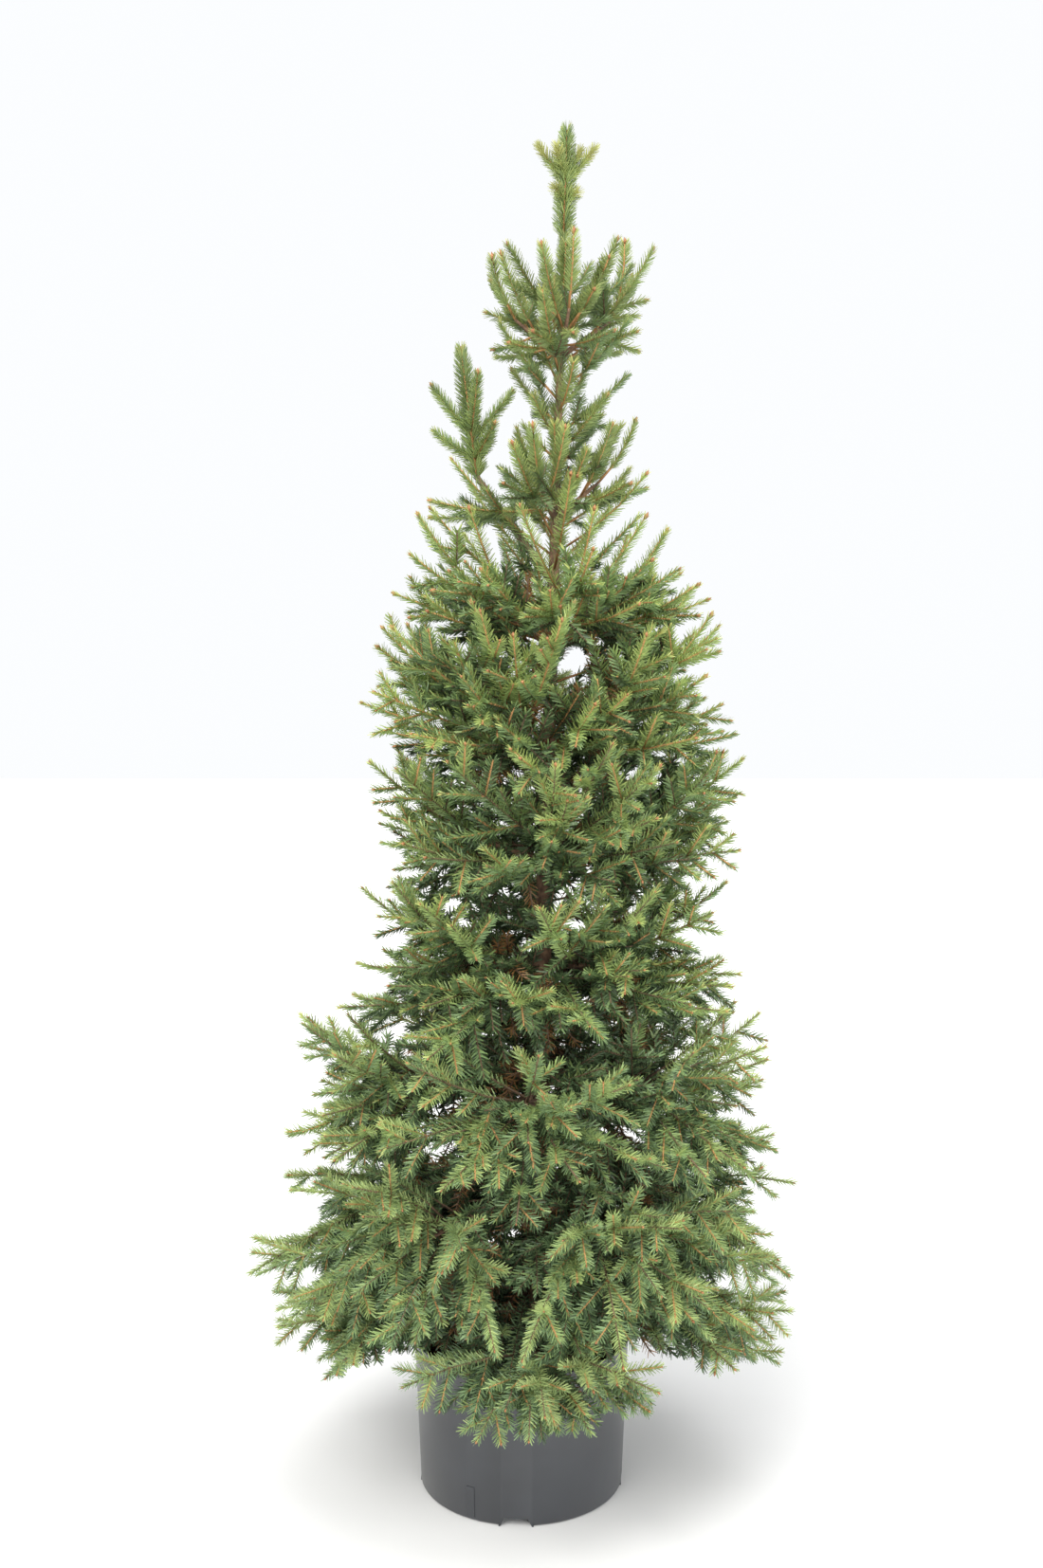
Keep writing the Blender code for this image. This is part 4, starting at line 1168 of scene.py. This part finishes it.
def build_trunk(material):
    foot = COMPOST_TOP - TRUNK_BURY
    count = int((TRUNK_TIP_HEIGHT - foot) / TRUNK_STEP)
    heights = [foot + (TRUNK_TIP_HEIGHT - foot) * i / count for i in range(count + 1)]
    points = [trunk_axis(height) for height in heights]
    radii = [trunk_radius(max(height, COMPOST_TOP)) for height in heights]
    verts, faces = bark_tube(points, radii, TRUNK_SIDES, TRUNK_BARK, 0.0)
    for vert in verts:
        middle = trunk_axis(vert.z)
        away = Vector((vert.x - middle.x, vert.y - middle.y, 0.0))
        fade = math.exp(-max(vert.z - COMPOST_TOP, 0.0) / FLARE_FALL)
        lobe = math.cos(FLARE_LOBES * math.atan2(away.y, away.x))
        vert += away * FLARE_LOBE_DEPTH * lobe * fade
    shape = bmesh.new()
    close_tube(shape, verts, faces, TRUNK_SIDES)
    return object_from(shape, "trunk_bark", material)


def limb_path(space):
    """The line and radii of a bough and the stem beyond it."""
    points = []
    radii = []
    start = 0.5 * trunk_radius(space.line(0.0))
    bough_end = space.start_out if space.bough else start
    stem_radii = (BOUGH_RADII[1] if space.bough else STEM_RADIUS, STEM_TIP_RADIUS)
    for i in range(LIMB_STEPS + 1):
        out = start + (space.end_out - start) * i / LIMB_STEPS
        if out < bough_end:
            share = (out - start) / (bough_end - start)
            points.append(space.limb_point(out, bough_lift(share)))
            radii.append(between(BOUGH_RADII, share))
        else:
            share = (out - bough_end) / (space.end_out - bough_end)
            points.append(space.limb_point(out))
            radii.append(between(stem_radii, share))
    return points, radii


def build_limbs(spaces, material):
    """Boughs and stems with bark, one piece for each region."""
    for region in REGIONS:
        shape = bmesh.new()
        for space in spaces:
            if space.region == region:
                tube = bark_tube(*limb_path(space), LIMB_SIDES, LIMB_BARK, space.number)
                close_tube(shape, *tube, LIMB_SIDES)
        if region == "crest":
            start = trunk_axis(SECOND_FOOT_HEIGHT)
            shares = [i / SECOND_STEPS for i in range(SECOND_STEPS + 1)]
            points = [start.lerp(SECOND_TURN, share) for share in shares]
            radii = [between((SECOND_FOOT_RADIUS, SECOND_TIP_RADIUS), share) for share in shares]
            tube = bark_tube(points, radii, SECOND_SIDES, LIMB_BARK, 99)
            close_tube(shape, *tube, SECOND_SIDES)
        yield object_from(shape, f"limbs_{region}", material), region


# Materials


def new_material(name):
    material = bpy.data.materials.new(name)
    material.use_nodes = True
    tree = material.node_tree
    return material, tree, tree.nodes["Principled BSDF"]


def set_inputs(node, values):
    for name, value in values.items():
        node.inputs[name].default_value = value


def noise_pattern(tree, scale, detail):
    """A noise in the object's own space."""
    coords = tree.nodes.new("ShaderNodeTexCoord")
    pattern = tree.nodes.new("ShaderNodeTexNoise")
    set_inputs(pattern, {"Scale": scale, "Detail": detail})
    tree.links.new(coords.outputs["Object"], pattern.inputs["Vector"])
    return pattern.outputs["Fac"]


def drift_colour(tree, shader, dark, light, scale, detail=3.0):
    """Lets the base colour drift between two by a noise, and gives that noise."""
    value = noise_pattern(tree, scale, detail)
    ramp = tree.nodes.new("ShaderNodeValToRGB")
    for stop, place, colour in zip(ramp.color_ramp.elements, DRIFT_STOPS, (dark, light)):
        stop.position = place
        stop.color = (*colour, 1.0)
    tree.links.new(value, ramp.inputs["Fac"])
    tree.links.new(ramp.outputs["Color"], shader.inputs["Base Color"])
    return value


def add_bumps(tree, shader, value, strength, depth):
    relief = tree.nodes.new("ShaderNodeBump")
    set_inputs(relief, {"Strength": strength, "Distance": depth})
    tree.links.new(value, relief.inputs["Height"])
    tree.links.new(relief.outputs["Normal"], shader.inputs["Normal"])


def leaf_material(name, colour, roughness=0.46):
    """A needle's waxy green, with slight drift from shoot to shoot."""
    material, tree, shader = new_material(name)
    dark, light = ([share * value for value in colour] for share in NEEDLE_DRIFT)
    drift_colour(tree, shader, dark, light, 26.0)
    set_inputs(shader, {"Roughness": roughness, "Specular IOR Level": 0.45})
    return material


def wood_material(name, dark, light, scale, roughness, bump):
    material, tree, shader = new_material(name)
    value = drift_colour(tree, shader, dark, light, scale, 6.0)
    set_inputs(shader, {"Roughness": roughness})
    if bump:
        add_bumps(tree, shader, value, 0.6, bump)
    return material


def plastic_material():
    """Dark charcoal moulded plastic: satin, with faint clouding and fine grain."""
    material, tree, shader = new_material("pot_plastic")
    value = drift_colour(tree, shader, (0.018, 0.020, 0.024), (0.027, 0.030, 0.036), 9.0)
    spread = tree.nodes.new("ShaderNodeMapRange")
    set_inputs(spread, {"To Min": 0.34, "To Max": 0.50})
    tree.links.new(value, spread.inputs["Value"])
    tree.links.new(spread.outputs["Result"], shader.inputs["Roughness"])
    set_inputs(shader, {"Specular IOR Level": 0.6, "Coat Weight": 0.5, "Coat Roughness": 0.32})
    add_bumps(tree, shader, noise_pattern(tree, 420.0, 2.0), 0.18, 0.0004)
    return material


def make_materials():
    materials = {}
    for name, colour in NEEDLE_COLOURS.items():
        for region, tint in REGION_TINTS.items():
            tinted = [value * change for value, change in zip(colour, tint)]
            kind = f"needles_{region}_{name}"
            materials[kind] = leaf_material(kind, tinted)
    for name, facts in WOODS.items():
        materials[name] = wood_material(name, *facts)
    materials["litter"] = leaf_material("litter", LITTER_COLOUR, 0.9)
    materials["plastic"] = plastic_material()
    return materials


# Pot and compost


def wall_radius(height):
    return POT_FOOT_RADIUS + (POT_RIM_RADIUS - POT_FOOT_RADIUS) * height / POT_HEIGHT


def radial_block(name, azimuth, foot, top):
    """A block across a radius of the pot, between a foot and a top section."""
    shape = bmesh.new()
    bmesh.ops.create_cube(shape, size=1.0)
    for vertex in shape.verts:
        height, inner, outer, width = top if vertex.co.z > 0.0 else foot
        out = outer if vertex.co.x > 0.0 else inner
        vertex.co = Vector((out, math.copysign(0.5 * width, vertex.co.y), height))
    shape.transform(Matrix.Rotation(azimuth, 4, "Z"))
    return object_from(shape, name)


def notch_blocks(name, grow, inward):
    """Blocks that either cut the drain notches or, a little larger, roof them over."""
    slope = (NOTCH_WIDTH_FOOT - NOTCH_WIDTH_TOP) / NOTCH_HEIGHT
    foot = NOTCH_WIDTH_FOOT + 2.0 * grow
    top = foot - slope * (NOTCH_HEIGHT + grow)
    below = 0.0 if inward else NOTCH_OVERRUN
    outer = wall_radius(0.0) - 0.5 * POT_WALL if inward else POT_RIM_RADIUS + NOTCH_OVERRUN
    inner = POT_FOOT_RADIUS - NOTCH_DEPTH - grow
    low_section = (-below, inner, outer, foot + slope * below)
    top_section = (NOTCH_HEIGHT + grow, inner, outer, top)
    blocks = []
    for i in range(NOTCH_COUNT):
        azimuth = NOTCH_FIRST_AZIMUTH + 2.0 * math.pi * i / NOTCH_COUNT
        blocks.append(radial_block(f"{name}_{i}", azimuth, low_section, top_section))
    return blocks


def cut_or_join(item, others, operation):
    for other in others:
        change = item.modifiers.new("change", "BOOLEAN")
        change.operation = operation
        change.solver = "EXACT"
        change.object = other
    bpy.context.view_layer.update()
    graph = bpy.context.evaluated_depsgraph_get()
    mesh = bpy.data.meshes.new_from_object(item.evaluated_get(graph))
    item.modifiers.clear()
    item.data = mesh
    for other in others:
        bpy.data.objects.remove(other, do_unlink=True)


def turned(name, profile, sides):
    """A profile of radii and heights, turned round the pot's axis."""
    shape = bmesh.new()
    made = [shape.verts.new((radius, 0.0, height)) for radius, height in profile]
    for a, b in zip(made, made[1:]):
        shape.edges.new((a, b))
    bmesh.ops.spin(
        shape,
        geom=shape.verts[:] + shape.edges[:],
        cent=(0.0, 0.0, 0.0),
        axis=(0.0, 0.0, 1.0),
        angle=2.0 * math.pi,
        steps=sides,
        use_merge=True,
    )
    bmesh.ops.remove_doubles(shape, verts=shape.verts, dist=0.00001)
    bmesh.ops.recalc_face_normals(shape, faces=shape.faces)
    return object_from(shape, name)


def build_pot(material):
    inner_rim = POT_RIM_RADIUS - POT_WALL
    lip_foot = POT_HEIGHT - LIP_HEIGHT
    rim_out = POT_RIM_RADIUS + LIP_STAND
    profile = [(0.0, POT_FLOOR), (wall_radius(POT_FLOOR) - POT_WALL, POT_FLOOR)]
    profile += [(inner_rim, POT_HEIGHT - RIM_CHAMFER), (inner_rim + RIM_CHAMFER, POT_HEIGHT)]
    profile += [(rim_out - LIP_BEVEL, POT_HEIGHT), (rim_out, POT_HEIGHT - LIP_BEVEL)]
    profile += [(wall_radius(lip_foot) + LIP_STAND, lip_foot + LIP_BEVEL)]
    profile += [(wall_radius(lip_foot), lip_foot)]
    for i in range(1, 6):
        turn = 0.5 * math.pi * i / 5
        drop = POT_FOOT_ROUND * (1.0 - math.sin(turn))
        inset = POT_FOOT_ROUND * (1.0 - math.cos(turn))
        profile.append((wall_radius(POT_FOOT_ROUND) - inset, drop))
    profile.append((0.0, 0.0))
    pot = turned("pot_shell", profile, POT_SIDES)
    sections = []
    for height in (MARK_LOW_EDGE, MARK_LOW_EDGE + MARK_HEIGHT):
        out = wall_radius(height)
        sections.append((height, out - 0.6 * POT_WALL, out + MARK_STAND, MARK_WIDTH))
    roofs = notch_blocks("notch_roof", NOTCH_ROOF, True)
    roofs.append(radial_block("mould_mark", MARK_AZIMUTH, *sections))
    cut_or_join(pot, roofs, "UNION")
    cut_or_join(pot, notch_blocks("notch_cut", 0.0, False), "DIFFERENCE")
    pot.data.materials.clear()
    pot.data.materials.append(material)
    pot.data.shade_smooth()
    pot.data.set_sharp_from_angle(angle=math.radians(30.0))
    return pot


def build_compost(material):
    """The compost's crumbly top, dished a little to the pot's wall."""
    rings, sides = 34, 110
    radius = wall_radius(COMPOST_TOP) - POT_WALL - 0.0005
    shape = bmesh.new()
    rows = []
    for i in range(1, rings + 1):
        out = radius * i / rings
        row = []
        for k in range(sides):
            turn = 2.0 * math.pi * k / sides
            x, y = out * math.cos(turn), out * math.sin(turn)
            drop = COMPOST_EDGE_DROP * (i / rings) ** 2
            crumb = 0.004 * noise.noise(Vector((x * 60, y * 60, 0)))
            crumb += 0.003 * noise.noise(Vector((x * 170, y * 170, 3)))
            row.append(shape.verts.new((x, y, COMPOST_TOP - drop + crumb)))
        rows.append(row)
    middle = shape.verts.new((0.0, 0.0, COMPOST_TOP))
    skirt = []
    for vert in rows[-1]:
        skirt.append(shape.verts.new((vert.co.x, vert.co.y, COMPOST_TOP - COMPOST_SKIRT)))
    for k in range(sides):
        n = (k + 1) % sides
        shape.faces.new((middle, rows[0][k], rows[0][n]))
        for inner, outer in zip(rows, rows[1:] + [skirt]):
            shape.faces.new((inner[k], outer[k], outer[n], inner[n]))
    shape.faces.new(list(reversed(skirt)))
    return object_from(shape, "compost_top", material)


def build_litter(material):
    """Dead needles and coir on the compost, as thin blades that stay inside the wall."""
    chance = np.random.default_rng(SEED + 5)
    count = LITTER_COUNT
    out = (wall_radius(COMPOST_TOP) - 0.012) * np.sqrt(chance.uniform(0.03, 1.0, count))
    turn = chance.uniform(0.0, 2.0 * math.pi, count)
    height = COMPOST_TOP - COMPOST_EDGE_DROP * (out / 0.17) ** 2
    height = height + chance.uniform(*LITTER_HEIGHTS, count)
    root = np.stack([out * np.cos(turn), out * np.sin(turn), height], axis=1)
    heading = unit(chance.normal(0.0, 1.0, (count, 3)) * (1.0, 1.0, 0.30))
    side = unit(np.cross(heading, (0.0, 0.0, 1.0)))
    length = per_row(chance.uniform(*LITTER_LENGTHS, count))
    length[:COIR_COUNT] *= COIR_LENGTH
    tip = root + heading * length
    limit = wall_radius(COMPOST_TOP) - POT_WALL - 0.002
    tip[:, :2] /= per_row(np.maximum(np.linalg.norm(tip[:, :2], axis=1) / limit, 1.0))
    waist = 0.5 * (root + tip)
    edge = side * LITTER_WIDTH
    corners = np.stack([root, waist + edge, tip, waist - edge], axis=1)
    corners[:, 1:4:2, 2] -= 0.0004
    return mesh_object("litter", corners.reshape(-1, 3), blade_faces(count), material)


# Stage


def make_stage():
    bpy.ops.mesh.primitive_plane_add(size=FLOOR_SIZE, location=(0.0, 0.0, -FLOOR_DROP))
    floor = bpy.context.active_object
    floor.name = "floor"
    material, tree, shader = new_material("floor_paint")
    drift_colour(tree, shader, (0.79, 0.79, 0.79), (0.81, 0.81, 0.81), 0.8)
    set_inputs(shader, {"Roughness": 0.8, "Specular IOR Level": 0.2})
    floor.data.materials.append(material)


def wide_lamp(name, place, angle, strength, colour):
    """A large, distant soft lamp that shines from a place towards the crown's middle."""
    light = bpy.data.lights.new(name, "SUN")
    light.angle = math.radians(angle)
    light.energy = strength
    light.color = colour
    item = bpy.data.objects.new(name, light)
    item.location = place
    item.rotation_euler = (LAMP_AIM - Vector(place)).to_track_quat("-Z", "Y").to_euler()
    bpy.context.scene.collection.objects.link(item)


def make_light():
    """A white studio: the backdrop is seen bright, and four soft lamps do most of the work."""
    world = bpy.data.worlds.new("studio")
    bpy.context.scene.world = world
    world.use_nodes = True
    tree = world.node_tree
    ambient = tree.nodes["Background"]
    backdrop = tree.nodes.new("ShaderNodeBackground")
    set_inputs(ambient, {"Color": STUDIO_WHITE, "Strength": AMBIENT_STRENGTH})
    set_inputs(backdrop, {"Color": STUDIO_WHITE, "Strength": BACKDROP_STRENGTH})
    path = tree.nodes.new("ShaderNodeLightPath")
    mix = tree.nodes.new("ShaderNodeMixShader")
    tree.links.new(path.outputs["Is Camera Ray"], mix.inputs["Fac"])
    tree.links.new(ambient.outputs["Background"], mix.inputs[1])
    tree.links.new(backdrop.outputs["Background"], mix.inputs[2])
    tree.links.new(mix.outputs["Shader"], tree.nodes["World Output"].inputs["Surface"])
    for name, facts in LAMPS.items():
        wide_lamp(name, *facts)


def make_camera():
    data = bpy.data.cameras.new("camera")
    data.lens = CAMERA_LENS
    data.sensor_width = SENSOR_WIDTH
    data.sensor_fit = "AUTO"
    item = bpy.data.objects.new("camera", data)
    item.location = CAMERA_PLACE
    item.rotation_euler = (math.radians(90.0 - CAMERA_DOWN), 0.0, 0.0)
    bpy.context.scene.collection.objects.link(item)
    bpy.context.scene.camera = item


def solids_of(nodes, prefix, region):
    """The frame's nodes of one kind in one region."""
    found = []
    for node in nodes:
        kind, _, place = node.partition("_")
        if kind == prefix and REGION_OF.get(place.rstrip("_0123456789")) == region:
            found.append(node)
    return found


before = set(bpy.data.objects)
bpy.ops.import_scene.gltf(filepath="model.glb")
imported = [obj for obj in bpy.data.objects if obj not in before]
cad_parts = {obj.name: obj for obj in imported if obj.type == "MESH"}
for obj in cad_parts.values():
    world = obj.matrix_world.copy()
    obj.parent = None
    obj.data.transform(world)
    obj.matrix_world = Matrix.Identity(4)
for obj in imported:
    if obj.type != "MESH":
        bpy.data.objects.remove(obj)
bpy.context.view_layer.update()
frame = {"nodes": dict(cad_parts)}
bpy.context.scene.view_settings.view_transform = "Standard"
make_camera()
make_light()
make_stage()
materials = make_materials()

spaces = all_spaces()
shoots = grow_masses(spaces)
grow_bough_twigs(spaces, shoots)
grow_trunk_twigs(shoots)
grow_leaders(shoots)
table = ShootTable(shoots)
chance_of_shade = random.Random(SEED + 3)
shades = [choose_shade(shoot, chance_of_shade) for shoot in shoots]

pieces = []
for build in (build_needles, build_twigs):
    for item, region in build(shoots, shades, table, materials):
        pieces.append((item, "needles", solids_of(frame["nodes"], "mass", region)))
for item, region in build_limbs(spaces, materials["bark"]):
    pieces.append((item, "bark", solids_of(frame["nodes"], "bough", region)))
pieces.append((build_buds(shoots, table, materials["buds"]), "needles", []))
pieces.append((build_trunk(materials["bark"]), "bark", ["trunk"]))
pieces.append((build_pot(materials["plastic"]), "pot_plastic", ["pot"]))
pieces.append((build_compost(materials["compost"]), "compost", ["compost"]))
pieces.append((build_litter(materials["litter"]), "compost", []))
for item, slot, nodes in pieces:
    if nodes:
        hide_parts(*nodes)
    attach(item, "root")
